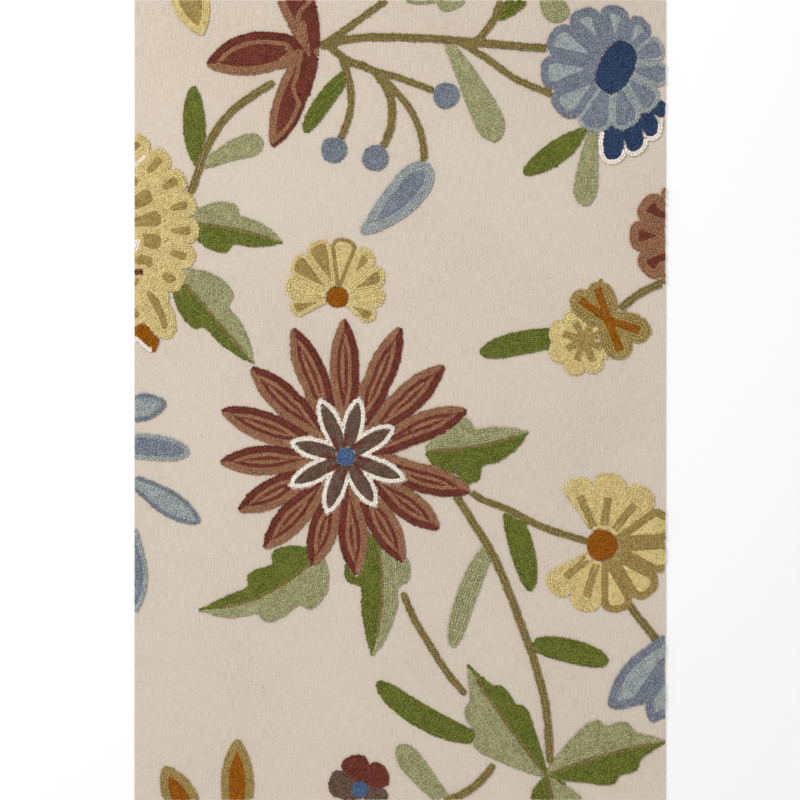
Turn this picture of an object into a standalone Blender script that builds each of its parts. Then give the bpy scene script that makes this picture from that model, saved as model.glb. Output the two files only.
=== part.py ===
"""Crewel embroidery panel: a flat cut of cotton cloth worked with flowers in wool chain stitch.

The cloth lies flat. Every stem, leaf, group of petals, heart and berry worked on it is a pad
of its own. Plan sizes are in millimetres from the middle of the panel, with +Y towards its
upper end, and the motifs are listed from the lowest laid to the topmost.
"""
from collections import namedtuple
import math

import bpy
from mathutils import Vector
from mathutils.geometry import delaunay_2d_cdt

MM = 0.001
PANEL_WIDTH = 450.0
PANEL_HEIGHT = 678.0
CLOTH_THICKNESS = 1.2
WORK_THICKNESS = 1.6
GAP = 0.3
STEM_WIDTH = 6.9
TWIG_WIDTH = 6.0
STEM_STEP = 11.0
LEAF_STEP = 7.0
NOTCH_RUN = 3.5
SHORTEST_EDGE = 0.4
MEETING = 1e-6

# Yarn colours as seen, red, green and blue from 0 to 255
YARNS = {
    "cotton": (211, 198, 181),
    "olive": (128, 112, 62),
    "green": (98, 110, 48),
    "sage": (163, 162, 122),
    "madder": (116, 60, 50),
    "umber": (98, 76, 66),
    "cream": (238, 227, 215),
    "yellow": (206, 188, 128),
    "gold": (162, 139, 82),
    "amber": (160, 94, 20),
    "sky": (150, 160, 168),
    "slate": (112, 122, 142),
    "navy": (42, 58, 95),
    "blue": (70, 98, 140),
    "russet": (150, 104, 80),
}
YARN_ROUGHNESS = 0.92

# One row for each station: how far along from base to tip, and the share of the half width
Station = namedtuple("Station", "along reach")
PROFILES = {
    "leaf": [Station(0.0, 0.16), Station(0.12, 0.52), Station(0.28, 0.86), Station(0.46, 1.0),
             Station(0.64, 0.96), Station(0.8, 0.78), Station(0.93, 0.46)],
    "strap": [Station(0.0, 0.55), Station(0.14, 0.84), Station(0.34, 1.0), Station(0.62, 1.0),
              Station(0.82, 0.84), Station(0.94, 0.5)],
    "club": [Station(0.0, 0.3), Station(0.2, 0.56), Station(0.42, 0.78), Station(0.64, 0.96),
             Station(0.82, 1.0), Station(0.94, 0.68)],
    "petal": [Station(0.0, 0.42), Station(0.2, 0.72), Station(0.42, 0.96), Station(0.58, 1.0),
              Station(0.74, 0.86), Station(0.88, 0.54), Station(0.96, 0.26)],
    "bud": [Station(0.0, 0.2), Station(0.06, 0.66), Station(0.2, 0.98), Station(0.4, 1.0),
            Station(0.62, 0.84), Station(0.82, 0.52), Station(0.95, 0.24)],
    "two_lobes": [Station(0.0, 0.12), Station(0.09, 0.56), Station(0.22, 0.88),
                  Station(0.36, 1.0), Station(0.46, 0.96), Station(0.5, 0.56),
                  Station(0.64, 0.56), Station(0.8, 0.4), Station(0.93, 0.2)],
    "three_lobes": [Station(0.0, 0.1), Station(0.1, 0.72), Station(0.2, 0.98),
                    Station(0.31, 1.0), Station(0.34, 0.7), Station(0.46, 0.8),
                    Station(0.58, 0.76), Station(0.61, 0.42), Station(0.76, 0.36),
                    Station(0.92, 0.16)],
    "late_lobes": [Station(0.0, 0.1), Station(0.14, 0.42), Station(0.3, 0.74),
                   Station(0.42, 0.96), Station(0.52, 1.0), Station(0.56, 0.76),
                   Station(0.66, 0.8), Station(0.73, 0.72), Station(0.77, 0.42),
                   Station(0.93, 0.16)],
}
# Share of the full reach of a rounded petal, from one notch to the next
LOBE = [Station(0.0, 0.0), Station(0.12, 0.66), Station(0.3, 0.96), Station(0.5, 1.0),
        Station(0.7, 0.96), Station(0.88, 0.66)]
# A pointed petal of a rayed flower: distance from the middle and half width, as shares
DAISY_PETAL = [Station(0.57, 0.94), Station(0.67, 1.0), Station(0.78, 0.9), Station(0.87, 0.66),
               Station(0.95, 0.34)]
STAR_POINT = [Station(0.5, 1.0), Station(0.66, 0.98), Station(0.8, 0.78), Station(0.92, 0.42)]

Blade = namedtuple("Blade", "base tip bend left right left_shape right_shape")
Bloom = namedtuple("Bloom", "centre radius petals notch lean lean_to start sweep")
Rays = namedtuple("Rays", "centre count length half_width notch_at stations sway wander turn"
                          " lean lean_to opening opening_after")
Motif = namedtuple("Motif", "name yarn outlines")


def plain_blade(base, tip, width, bend, shape):
    """A leaf or petal that is alike on both sides of its axis."""
    return Blade(base, tip, bend, width / 2, width / 2, shape, shape)


def lobed_leaf(base, tip, bend, left, right, left_shape="two_lobes", right_shape="two_lobes"):
    """A leaf with its own reach and its own lobes on each side of the midrib."""
    return Blade(base, tip, bend, left, right, left_shape, right_shape)


def axis_point(blade, along):
    """Point and leftward direction on a blade's bowed axis."""
    base, tip = Vector(blade.base), Vector(blade.tip)
    run = tip - base
    across = Vector((-run.y, run.x)).normalized()
    point = base + run * along + across * (4 * blade.bend * along * (1 - along))
    slope = run + across * (4 * blade.bend * (1 - 2 * along))
    return point, Vector((-slope.y, slope.x)).normalized()


def smooth_route(knots, stride):
    """Points about a stride apart along a smooth curve through the knots."""
    knots = [Vector(knot) for knot in knots]
    ends = [2 * knots[0] - knots[1]] + knots + [2 * knots[-1] - knots[-2]]
    route = []
    for before, start, end, after in zip(ends, ends[1:], ends[2:], ends[3:]):
        steps = max(1, round((end - start).length / stride))
        for step in range(steps):
            u = step / steps
            route.append(0.5 * (2 * start + (end - before) * u
                                + (2 * before - 5 * start + 4 * end - after) * u ** 2
                                + (3 * start - before - 3 * end + after) * u ** 3))
    return route + [knots[-1]]


def blade_side(blade, shape, reach):
    """Smooth edge on one side of a blade, from base to tip; a negative reach is its right."""
    knots = []
    for station in PROFILES[shape]:
        point, left = axis_point(blade, station.along)
        knots.append(point + left * (reach * station.reach))
    return smooth_route(knots + [Vector(blade.tip)], LEAF_STEP)


def blade_outline(blade):
    """Outline of a leaf or petal: up its right side, round the tip and down its left."""
    right_side = blade_side(blade, blade.right_shape, -blade.right)
    left_side = blade_side(blade, blade.left_shape, blade.left)
    return right_side + left_side[-2::-1]


def bloom_arc(bloom):
    """Scalloped arc of a flower with rounded petals, from one end of its sweep to the other."""
    points = []
    for petal in range(bloom.petals):
        for station in LOBE:
            turn = math.radians(bloom.start + bloom.sweep * (petal + station.along) / bloom.petals)
            reach = bloom.radius * (1 + bloom.lean * math.cos(turn - math.radians(bloom.lean_to)))
            reach = reach * (1 - bloom.notch * (1 - station.reach))
            points.append(Vector(bloom.centre) + reach * Vector((math.cos(turn), math.sin(turn))))
    return points


def bloom_outline(bloom):
    """Outline of a rounded flower; one that isn't a full round is closed at its centre."""
    arc = bloom_arc(bloom)
    if bloom.sweep < 360:
        arc.append(Vector(bloom.centre))
    return arc


def ray_turn(rays, ray):
    """Direction of one pointed petal, in radians, a little off its even place."""
    place = ray % rays.count
    even = rays.turn + 360.0 * (ray // rays.count) + (360.0 - rays.opening) * place / rays.count
    if place > rays.opening_after:
        even += rays.opening
    return math.radians(even + rays.wander * math.sin(2.6 * place - 4.5))


def rays_outline(rays):
    """Outline of a flower or star with pointed petals, each a little longer or shorter."""
    points = []
    centre = Vector(rays.centre)
    even_sector = 2 * math.pi / rays.count
    for ray in range(rays.count):
        turn, onward = ray_turn(rays, ray), ray_turn(rays, ray + 1)
        notch_before = rays.notch_at * even_sector / (turn - ray_turn(rays, ray - 1))
        notch_after = rays.notch_at * even_sector / (onward - turn)
        out = Vector((math.cos(turn), math.sin(turn)))
        side = Vector((-out.y, out.x))
        length = rays.length * (1 + rays.sway * math.sin(2.4 * ray)
                                + rays.lean * math.cos(turn - math.radians(rays.lean_to)))
        flank = [(length * s.along, rays.half_width * s.reach) for s in rays.stations]
        points += [centre + out * far - side * wide
                   for far, wide in flank if far > notch_before + NOTCH_RUN]
        points.append(centre + out * length)
        points += [centre + out * far + side * wide
                   for far, wide in flank[::-1] if far > notch_after + NOTCH_RUN]
        between = (turn + onward) / 2
        points.append(centre + notch_after * Vector((math.cos(between), math.sin(between))))
    return points


def disc_outline(centre, radius, sides=20):
    """A round heart or berry, a little uneven as worked by hand."""
    points = []
    for side in range(sides):
        turn = 2 * math.pi * side / sides
        reach = radius * (1 + 0.03 * math.sin(3 * turn + centre[0]))
        points.append(Vector(centre) + reach * Vector((math.cos(turn), math.sin(turn))))
    return points


def stem_outline(width, *knots):
    """Outline of a stem of even width along its smooth route."""
    route = smooth_route(knots, STEM_STEP)
    right_side, left_side = [], []
    for index, point in enumerate(route):
        run = route[min(index + 1, len(route) - 1)] - route[max(index - 1, 0)]
        left = Vector((-run.y, run.x)).normalized() * (width / 2)
        right_side.append(point - left)
        left_side.append(point + left)
    return right_side + left_side[::-1]


DAISY = (-46.0, -48.0)
CARNATION = (181.0, 283.0)
SKIRT = Bloom(CARNATION, 54.0, 5, 0.17, 0.55, 240, 262, 80)
SMALL_BLOSSOM = (-53.0, 87.0)
RIGHT_BLOSSOM = (171.0, -123.0)
GOLD_MIDDLE = (176.0, 68.0)
CLUSTER = (124.0, -318.0)
OUTLINE_BAND = 4.2
STAR_LENGTH = 53.0
STAR_HALF_WIDTH = 9.8


def leaf_motifs():
    """Sage, lobed and green leaves, which lie under the stems."""
    cluster = [
        lobed_leaf(CLUSTER, (57.0, -224.0), 2.0, 34.0, 21.0, "late_lobes", "late_lobes"),
        lobed_leaf(CLUSTER, (226.0, -289.0), 3.0, 31.0, 26.0, "late_lobes", "late_lobes"),
        lobed_leaf(CLUSTER, (143.0, -390.0), 0.0, 30.0, 19.0, "late_lobes", "three_lobes"),
    ]
    sage = [
        plain_blade((-167.0, 198.0), (-115.0, 219.0), 20.0, 3.0, "club"),
        plain_blade((40.0, 303.0), (83.0, 218.0), 25.0, 2.0, "club"),
        plain_blade((164.0, 232.0), (156.0, 163.0), 20.0, -1.0, "club"),
        plain_blade((75.0, -124.0), (44.0, -212.0), 17.0, -4.0, "strap"),
        plain_blade((50.0, -352.0), (-2.0, -291.0), 20.0, 2.0, "club"),
        lobed_leaf((64.0, 356.0), (-8.0, 342.0), 0.0, 22.0, 14.0),
    ]
    lobed = [
        lobed_leaf((-180.0, 150.0), (-99.0, 133.0), 3.0, 22.0, 22.0),
        lobed_leaf((-190.0, 108.0), (-124.0, 31.0), 0.0, 27.0, 21.0),
        lobed_leaf((22.0, -43.0), (109.0, -27.0), -4.0, 26.0, 31.0),
        lobed_leaf((-66.0, -129.0), (-171.0, -178.0), 12.0, 30.0, 28.0,
                   "three_lobes", "three_lobes"),
        lobed_leaf((-24.0, -100.0), (-24.0, -217.0), 9.0, 24.0, 32.0),
    ]
    green = [
        plain_blade((-45.0, 277.0), (-82.0, 225.0), 15.0, -2.0, "strap"),
        plain_blade((-172.0, 196.0), (-175.0, 268.0), 19.0, 1.0, "leaf"),
        plain_blade((158.0, 231.0), (103.0, 191.0), 20.0, 2.0, "leaf"),
        plain_blade((140.0, 54.0), (66.0, 39.0), 20.0, -2.0, "strap"),
        plain_blade((88.0, -84.0), (111.0, -164.0), 21.0, 3.0, "leaf"),
        plain_blade((113.0, -207.0), (178.0, -223.0), 20.0, 2.0, "strap"),
        plain_blade((63.0, -286.0), (-21.0, -237.0), 20.0, 7.0, "strap"),
        plain_blade((83.0, 322.0), (116.0, 372.0), 22.0, -2.0, "leaf"),
    ]
    motifs = [Motif("leaf_cluster", "green", [blade_outline(b) for b in cluster])]
    for family, yarn, blades in (("sage", "sage", sage), ("lobed", "green", lobed),
                                 ("green", "green", green)):
        for number, blade in enumerate(blades, start=1):
            motifs.append(Motif(f"leaf_{family}_{number:02d}", yarn, [blade_outline(blade)]))
    return motifs


def stem_motifs():
    """Stems and twigs; the twigs of the upper spray are worked as one."""
    spray = [
        stem_outline(STEM_WIDTH, (-74, 298), (-34, 307), (30, 306), (86, 301), (140, 297)),
        stem_outline(TWIG_WIDTH, (-66, 301), (-46, 314), (-24, 330), (-4, 345)),
        stem_outline(TWIG_WIDTH, (64, 303), (80, 323), (86, 345)),
        stem_outline(TWIG_WIDTH, (50, 304), (77, 287), (98, 272), (128, 259)),
        stem_outline(STEM_WIDTH, (-60, 300), (-44, 287), (-22, 279), (-8, 256), (-8, 230),
                     (-18, 208)),
        stem_outline(TWIG_WIDTH, (-50, 292), (-43, 270), (-42, 246), (-52, 216)),
        stem_outline(TWIG_WIDTH, (-28, 281), (2, 272), (34, 260)),
        stem_outline(TWIG_WIDTH, (-14, 272), (6, 250), (18, 224), (21, 194)),
    ]
    single = [
        ("stem_left", STEM_WIDTH, [(-182, 164), (-172, 191), (-165, 212), (-150, 237),
                                   (-131, 254), (-106, 270)]),
        ("stem_upper_right", STEM_WIDTH, [(234, 104), (204, 91), (176, 68)]),
        ("stem_branch", STEM_WIDTH, [(34, -60), (60, -101), (81, -136), (101, -186),
                                     (115, -226), (124, -264), (127, -308)]),
        ("stem_side", TWIG_WIDTH, [(44, -64), (67, -83), (90, -92), (124, -109), (164, -121)]),
        ("stem_low_left", TWIG_WIDTH, [(2, -162), (12, -186), (26, -209), (39, -230),
                                       (56, -250)]),
        ("stem_tulip", STEM_WIDTH, [(186, -162), (204, -187), (222, -208)]),
        ("stem_corner", STEM_WIDTH, [(12, -348), (46, -337), (66, -325), (80, -308)]),
    ]
    motifs = [Motif("stem_spray", "olive", spray)]
    for name, width, knots in single:
        motifs.append(Motif(name, "olive", [stem_outline(width, *knots)]))
    return motifs


def petal_motifs():
    """Petals and buds that stand by themselves or in twos and threes."""
    lily = [
        plain_blade((-72.0, 296.0), (-165.0, 283.0), 36.0, -5.0, "petal"),
        plain_blade((-79.0, 303.0), (-109.0, 213.0), 27.0, 2.0, "petal"),
        plain_blade((-75.0, 290.0), (-111.0, 378.0), 31.0, -6.0, "petal"),
        plain_blade((-81.0, 256.0), (-79.0, 333.0), 17.0, -3.0, "petal"),
    ]
    tulip = [
        plain_blade((236.0, -198.0), (176.0, -261.0), 36.0, 3.0, "petal"),
        plain_blade((240.0, -212.0), (212.0, -274.0), 30.0, 0.0, "petal"),
    ]
    berries = [(-56.0, 212.0), (-21.0, 205.0), (39.0, 258.0)]
    blue = [
        plain_blade((-246.0, -12.0), (-197.0, -2.0), 24.0, 0.0, "petal"),
        plain_blade((-250.0, -38.0), (-177.0, -45.0), 22.0, 2.0, "strap"),
        plain_blade((-228.0, -67.0), (-168.0, -105.0), 22.0, 0.0, "petal"),
        plain_blade((-229.0, -107.0), (-227.0, -184.0), 28.0, 0.0, "petal"),
    ]
    gold = [
        plain_blade((-166.0, -366.0), (-200.0, -309.0), 28.0, 2.0, "petal"),
        plain_blade((-138.0, -372.0), (-138.0, -286.0), 28.0, 0.0, "petal"),
    ]
    motifs = [
        Motif("petal_yellow", "yellow",
              [blade_outline(plain_blade((-188.0, 392.0), (-167.0, 308.0), 34.0, -3.0, "petal"))]),
        Motif("petal_amber", "amber",
              [blade_outline(plain_blade((-238.0, 94.0), (-209.0, 39.0), 27.0, 4.0, "petal"))]),
        Motif("lily_petals", "madder", [blade_outline(blade) for blade in lily]),
        Motif("tulip_petals", "slate", [blade_outline(blade) for blade in tulip]),
        Motif("bud_blue", "sky",
              [blade_outline(plain_blade((24.0, 201.0), (-35.0, 140.0), 31.0, 4.0, "bud"))]),
    ]
    for number, blade in enumerate(blue, start=1):
        motifs.append(Motif(f"leaf_blue_{number:02d}", "slate", [blade_outline(blade)]))
    for number, blade in enumerate(gold, start=1):
        motifs.append(Motif(f"petal_gold_{number:02d}", "gold", [blade_outline(blade)]))
    for number, centre in enumerate(berries, start=1):
        motifs.append(Motif(f"berry_{number:02d}", "slate", [disc_outline(centre, 11.5)]))
    return motifs


def flower_motifs():
    """Whole flowers, each with its heart above its petals."""
    mum = Bloom((-260.0, 143.0), 90.0, 23, 0.08, 0.02, 90, 8, 360)
    mum_low = plain_blade((-222.0, 104.0), (-194.0, 52.0), 26.0, 0.0, "strap")
    brown = Bloom((241.0, 139.0), 47.0, 9, 0.13, 0.0, 0, 0, 360)
    pair_yellow = Bloom((156.0, 50.0), 29.0, 8, 0.16, 0.1, 200, 92, 360)
    gold_tips = [(145.0, 90.0), (165.0, 101.0), (213.0, 55.0), (190.0, 34.0)]
    pair_gold = [plain_blade(GOLD_MIDDLE, tip, 25.0, 0.0, "strap") for tip in gold_tips]
    small = Bloom(SMALL_BLOSSOM, 42.0, 9, 0.12, 0.22, 100, -45, 256)
    right = Bloom(RIGHT_BLOSSOM, 60.0, 9, 0.14, 0.03, 60, -154, 284)
    carnation = Bloom(CARNATION, 54.0, 11, 0.13, 0.16, 195, 6, 360)
    skirt_rim = SKIRT._replace(radius=SKIRT.radius + 3.2, notch=0.13)
    skirt_side = stem_outline(2 * OUTLINE_BAND, SKIRT.centre, (171.4, 207.0))
    pansy = Bloom((-34.0, -327.0), 27.0, 5, 0.24, 0.0, 0, -5, 360)
    petals = Rays(DAISY, 15, 110.0, 12.6, 60.0, DAISY_PETAL, 0.03, 0.8, 90, 0.08, 85, 12.0, 11)
    line = Rays(DAISY, 8, STAR_LENGTH, STAR_HALF_WIDTH, 20.0, STAR_POINT, 0.06, 4.0, 73,
                0.0, 0, 0.0, 0)
    star = line._replace(length=STAR_LENGTH - 1.4 * OUTLINE_BAND,
                         half_width=STAR_HALF_WIDTH - OUTLINE_BAND, notch_at=13.0)
    heart = plain_blade((171.0, 263.0), (191.0, 305.0), 29.0, -3.0, "strap")
    return [
        Motif("mum_petals", "yellow", [bloom_outline(mum), blade_outline(mum_low)]),
        Motif("blossom_brown", "russet", [bloom_outline(brown)]),
        Motif("blossom_pair_yellow", "yellow", [bloom_outline(pair_yellow)]),
        Motif("blossom_pair_gold", "gold", [blade_outline(blade) for blade in pair_gold]),
        Motif("blossom_small", "yellow", [bloom_outline(small)]),
        Motif("blossom_right", "yellow", [bloom_outline(right)]),
        Motif("carnation_rim", "cream", [bloom_outline(skirt_rim), skirt_side]),
        Motif("carnation_skirt", "navy", [bloom_outline(SKIRT)]),
        Motif("carnation_petals", "slate", [bloom_outline(carnation)]),
        Motif("pansy_petals", "madder", [bloom_outline(pansy)]),
        Motif("daisy_petals", "madder", [rays_outline(petals)]),
        Motif("daisy_outline", "cream", [rays_outline(line)]),
        Motif("daisy_star", "umber", [rays_outline(star)]),
        Motif("blossom_small_heart", "amber", [disc_outline(SMALL_BLOSSOM, 9.5)]),
        Motif("blossom_right_heart", "amber", [disc_outline(RIGHT_BLOSSOM, 13.5)]),
        Motif("carnation_heart", "navy", [blade_outline(heart)]),
        Motif("daisy_heart", "blue", [disc_outline(DAISY, 8.5)]),
    ]


def box_of(outlines):
    """Lowest and highest corner of some outlines, as four numbers."""
    xs = [point.x for outline in outlines for point in outline]
    ys = [point.y for outline in outlines for point in outline]
    return min(xs), min(ys), max(xs), max(ys)


def boxes_meet(one, other):
    """Whether two plan boxes come within the gap of each other."""
    return (one[0] < other[2] + GAP and other[0] < one[2] + GAP
            and one[1] < other[3] + GAP and other[1] < one[3] + GAP)


def grown(outline, by):
    """A copy of a counter-clockwise or clockwise outline moved outwards all round."""
    count = len(outline)
    area = sum(a.x * b.y - b.x * a.y for a, b in zip(outline, outline[1:] + outline[:1]))
    outwards = 1 if area > 0 else -1
    moved = []
    for index, point in enumerate(outline):
        before = (point - outline[index - 1]).normalized()
        after = (outline[(index + 1) % count] - point).normalized()
        normal = Vector((before.y + after.y, -before.x - after.x)).normalized()
        spread = max(0.35, normal.dot(Vector((before.y, -before.x))))
        moved.append(point + normal * (outwards * by / spread))
    return moved


def kept_cells(outlines, above, panel):
    """Triangles of the plan inside the outlines and the panel and clear of all that lies above."""
    verts, faces = [], []
    for outline in outlines + above + [panel]:
        faces.append(list(range(len(verts), len(verts) + len(outline))))
        verts += outline
    points, _, cells, _, _, sources = delaunay_2d_cdt(verts, [], faces, 1, MEETING)
    own = set(range(len(outlines)))
    upper = set(range(len(outlines), len(outlines) + len(above)))
    inside = len(faces) - 1
    kept = [cell for cell, source in zip(cells, sources)
            if inside in source and own & set(source) and not upper & set(source)]
    return points, kept


def edges_of(cell):
    """The three directed edges of a triangle."""
    return list(zip(cell, cell[1:] + cell[:1]))


def main_piece(cells, points):
    """The largest group of triangles joined by their edges."""
    by_edge = {edge: index for index, cell in enumerate(cells) for edge in edges_of(cell)}
    left, best, best_area = set(range(len(cells))), [], 0.0
    while left:
        group, front = [], [left.pop()]
        while front:
            cell = cells[front.pop()]
            group.append(cell)
            for start, end in edges_of(cell):
                neighbour = by_edge.get((end, start))
                if neighbour in left:
                    left.remove(neighbour)
                    front.append(neighbour)
        area = sum(abs((points[b] - points[a]).cross(points[c] - points[a])) for a, b, c in group)
        if area > best_area:
            best, best_area = group, area
    return best


def border_loops(cells, points):
    """Closed loops of points round a group of triangles, with no very short edges."""
    directed = {edge for cell in cells for edge in edges_of(cell)}
    onward = {start: end for start, end in directed if (end, start) not in directed}
    loops = []
    while onward:
        start, here = onward.popitem()
        loop = [start]
        while here != start:
            loop.append(here)
            here = onward.pop(here)
        tidy = []
        for point in (points[index] for index in loop):
            if not tidy or (point - tidy[-1]).length > SHORTEST_EDGE:
                tidy.append(point)
        if (tidy[0] - tidy[-1]).length <= SHORTEST_EDGE:
            tidy.pop()
        if len(tidy) > 2:
            loops.append(tidy)
    return loops


def yarn_material(name):
    """Matte material in a yarn's colour, given to Blender as linear values."""
    material = bpy.data.materials.new(name)
    material.use_nodes = True
    shader = material.node_tree.nodes["Principled BSDF"]
    linear = [((value / 255 + 0.055) / 1.055) ** 2.4 for value in YARNS[name]]
    shader.inputs["Base Color"].default_value = (*linear, 1.0)
    shader.inputs["Roughness"].default_value = YARN_ROUGHNESS
    shader.inputs["Metallic"].default_value = 0.0
    material.diffuse_color = (*linear, 1.0)
    return material


def flat_solid(name, yarn, loops, floor, thickness, collection):
    """A flat piece of even thickness: a filled 2D curve of the loops, raised to its height."""
    curve = bpy.data.curves.new(name, "CURVE")
    curve.dimensions = "2D"
    curve.fill_mode = "BOTH"
    curve.extrude = thickness / 2 * MM
    for loop in loops:
        spline = curve.splines.new("POLY")
        spline.points.add(len(loop) - 1)
        spline.use_cyclic_u = True
        for spline_point, point in zip(spline.points, loop):
            spline_point.co = (point.x * MM, point.y * MM, 0.0, 1.0)
    solid = bpy.data.objects.new(name, curve)
    solid.location.z = (floor + thickness / 2) * MM
    solid.data.materials.append(yarn_material(yarn))
    collection.objects.link(solid)
    return solid


def worked_pads(motifs, panel, collection):
    """Every motif as a pad on the cloth, parted from those worked over it and cut at the edge."""
    gap_outlines = [[grown(outline, GAP) for outline in motif.outlines] for motif in motifs]
    boxes = [box_of(motif.outlines) for motif in motifs]
    for index, motif in enumerate(motifs):
        above = []
        for upper in range(index + 1, len(motifs)):
            if boxes_meet(boxes[index], boxes[upper]):
                above += gap_outlines[upper]
        points, cells = kept_cells(motif.outlines, above, panel)
        loops = border_loops(main_piece(cells, points), points)
        flat_solid(motif.name, motif.yarn, loops, CLOTH_THICKNESS + GAP, WORK_THICKNESS,
                   collection)


def main():
    """Clear the scene and build the cloth and all that is worked on it."""
    for old in list(bpy.data.objects):
        bpy.data.objects.remove(old)
    collection = bpy.data.collections.new("crewel_embroidery_panel")
    bpy.context.scene.collection.children.link(collection)
    half_width, half_height = PANEL_WIDTH / 2, PANEL_HEIGHT / 2
    panel = [Vector((-half_width, -half_height)), Vector((half_width, -half_height)),
             Vector((half_width, half_height)), Vector((-half_width, half_height))]
    flat_solid("ground_cloth", "cotton", [panel], 0.0, CLOTH_THICKNESS, collection)
    motifs = leaf_motifs() + stem_motifs() + petal_motifs() + flower_motifs()
    worked_pads(motifs, panel, collection)


main()
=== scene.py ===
"""Looks of a crewel embroidery panel: flowers in wool chain stitch on a cotton ground.

Plan sizes are in millimetres from the middle of the panel, with +Y towards its upper end. Every
motif is filled row by row from its edge inwards, as it is worked by hand, inside the outline of
the pad that it replaces. A stitch is a loop of two strands that bow apart and meet again.
"""
from __future__ import annotations

import logging
import math
from dataclasses import dataclass, field, replace
from enum import Enum

import bpy
import numpy as np
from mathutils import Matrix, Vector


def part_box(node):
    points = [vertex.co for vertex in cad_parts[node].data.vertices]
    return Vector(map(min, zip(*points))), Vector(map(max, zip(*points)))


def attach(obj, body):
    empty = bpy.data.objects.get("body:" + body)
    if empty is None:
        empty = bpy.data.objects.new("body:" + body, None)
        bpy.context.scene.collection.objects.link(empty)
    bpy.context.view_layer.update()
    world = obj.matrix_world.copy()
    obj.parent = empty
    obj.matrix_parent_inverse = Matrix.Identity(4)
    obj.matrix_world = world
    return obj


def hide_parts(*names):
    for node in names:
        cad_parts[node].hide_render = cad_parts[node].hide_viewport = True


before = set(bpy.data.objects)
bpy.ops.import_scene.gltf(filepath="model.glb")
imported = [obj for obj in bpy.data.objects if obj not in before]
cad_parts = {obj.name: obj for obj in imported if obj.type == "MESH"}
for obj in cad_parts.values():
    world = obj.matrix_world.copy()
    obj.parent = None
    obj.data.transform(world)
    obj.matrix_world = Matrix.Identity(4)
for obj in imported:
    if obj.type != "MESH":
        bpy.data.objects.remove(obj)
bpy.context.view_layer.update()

Point = tuple[float, float]
MM = 0.001
SEED = 41
GROUND_NODE = "ground_cloth"
PANEL_HALF = np.array(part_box(GROUND_NODE)[1].xy) / MM
CLOTH_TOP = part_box(GROUND_NODE)[1].z / MM
GRID_STEP = 0.5
GRID_MARGIN = 24
ROW_WIDTH = 3.5
STITCH_LENGTH = 3.0
SHORTEST_ROW = 4.5
EDGE_CLEARANCE = 0.9
COVER_REACH = 0.6
BED_EDGE = 0.9
BED_TOP = 0.75
BED_RISE = 0.05
BED_STEP = 2.5
# Painted shade: the bed's tone darkens it a little below the rows' own.
BED_SHADE_TONE = 0.45
SMALLEST_BED = 4.0
ABOVE_BORDER = 100.0
BLOCK = 4096


class Yarn(Enum):
    """Wool colours; each value names the yarn's material and its pieces."""

    OLIVE = "olive"
    GREEN = "green"
    SAGE = "sage"
    MADDER = "madder"
    UMBER = "umber"
    CREAM = "cream"
    YELLOW = "yellow"
    GOLD = "gold"
    AMBER = "amber"
    SKY = "sky"
    SLATE = "slate"
    NAVY = "navy"
    BLUE = "blue"
    RUSSET = "russet"


def linear(colour: tuple[int, int, int]) -> tuple[float, float, float, float]:
    """Colour for a shader socket from red, green and blue as seen, 0 to 255."""
    shares = [value / 255 for value in colour]
    return (*[((s + 0.055) / 1.055) ** 2.4 if s > 0.04 else s / 12.92 for s in shares], 1.0)


class Signal:
    """A shader socket on which Python arithmetic adds Math nodes."""

    def __init__(self, recipe: Recipe, socket: bpy.types.NodeSocket) -> None:
        """Keep the recipe and the socket that the value comes from."""
        self.recipe = recipe
        self.socket = socket

    def __add__(self, other: Signal | float) -> Signal:
        """The sum of two values."""
        return self.recipe.maths("ADD", self, other)

    def __radd__(self, other: float) -> Signal:
        """The sum, with the number first."""
        return self.recipe.maths("ADD", other, self)

    def __sub__(self, other: Signal | float) -> Signal:
        """The difference of two values."""
        return self.recipe.maths("SUBTRACT", self, other)

    def __rsub__(self, other: float) -> Signal:
        """The difference, with the number first."""
        return self.recipe.maths("SUBTRACT", other, self)

    def __mul__(self, other: Signal | float) -> Signal:
        """The product of two values."""
        return self.recipe.maths("MULTIPLY", self, other)

    def __rmul__(self, other: float) -> Signal:
        """The product, with the number first."""
        return self.recipe.maths("MULTIPLY", other, self)


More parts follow.
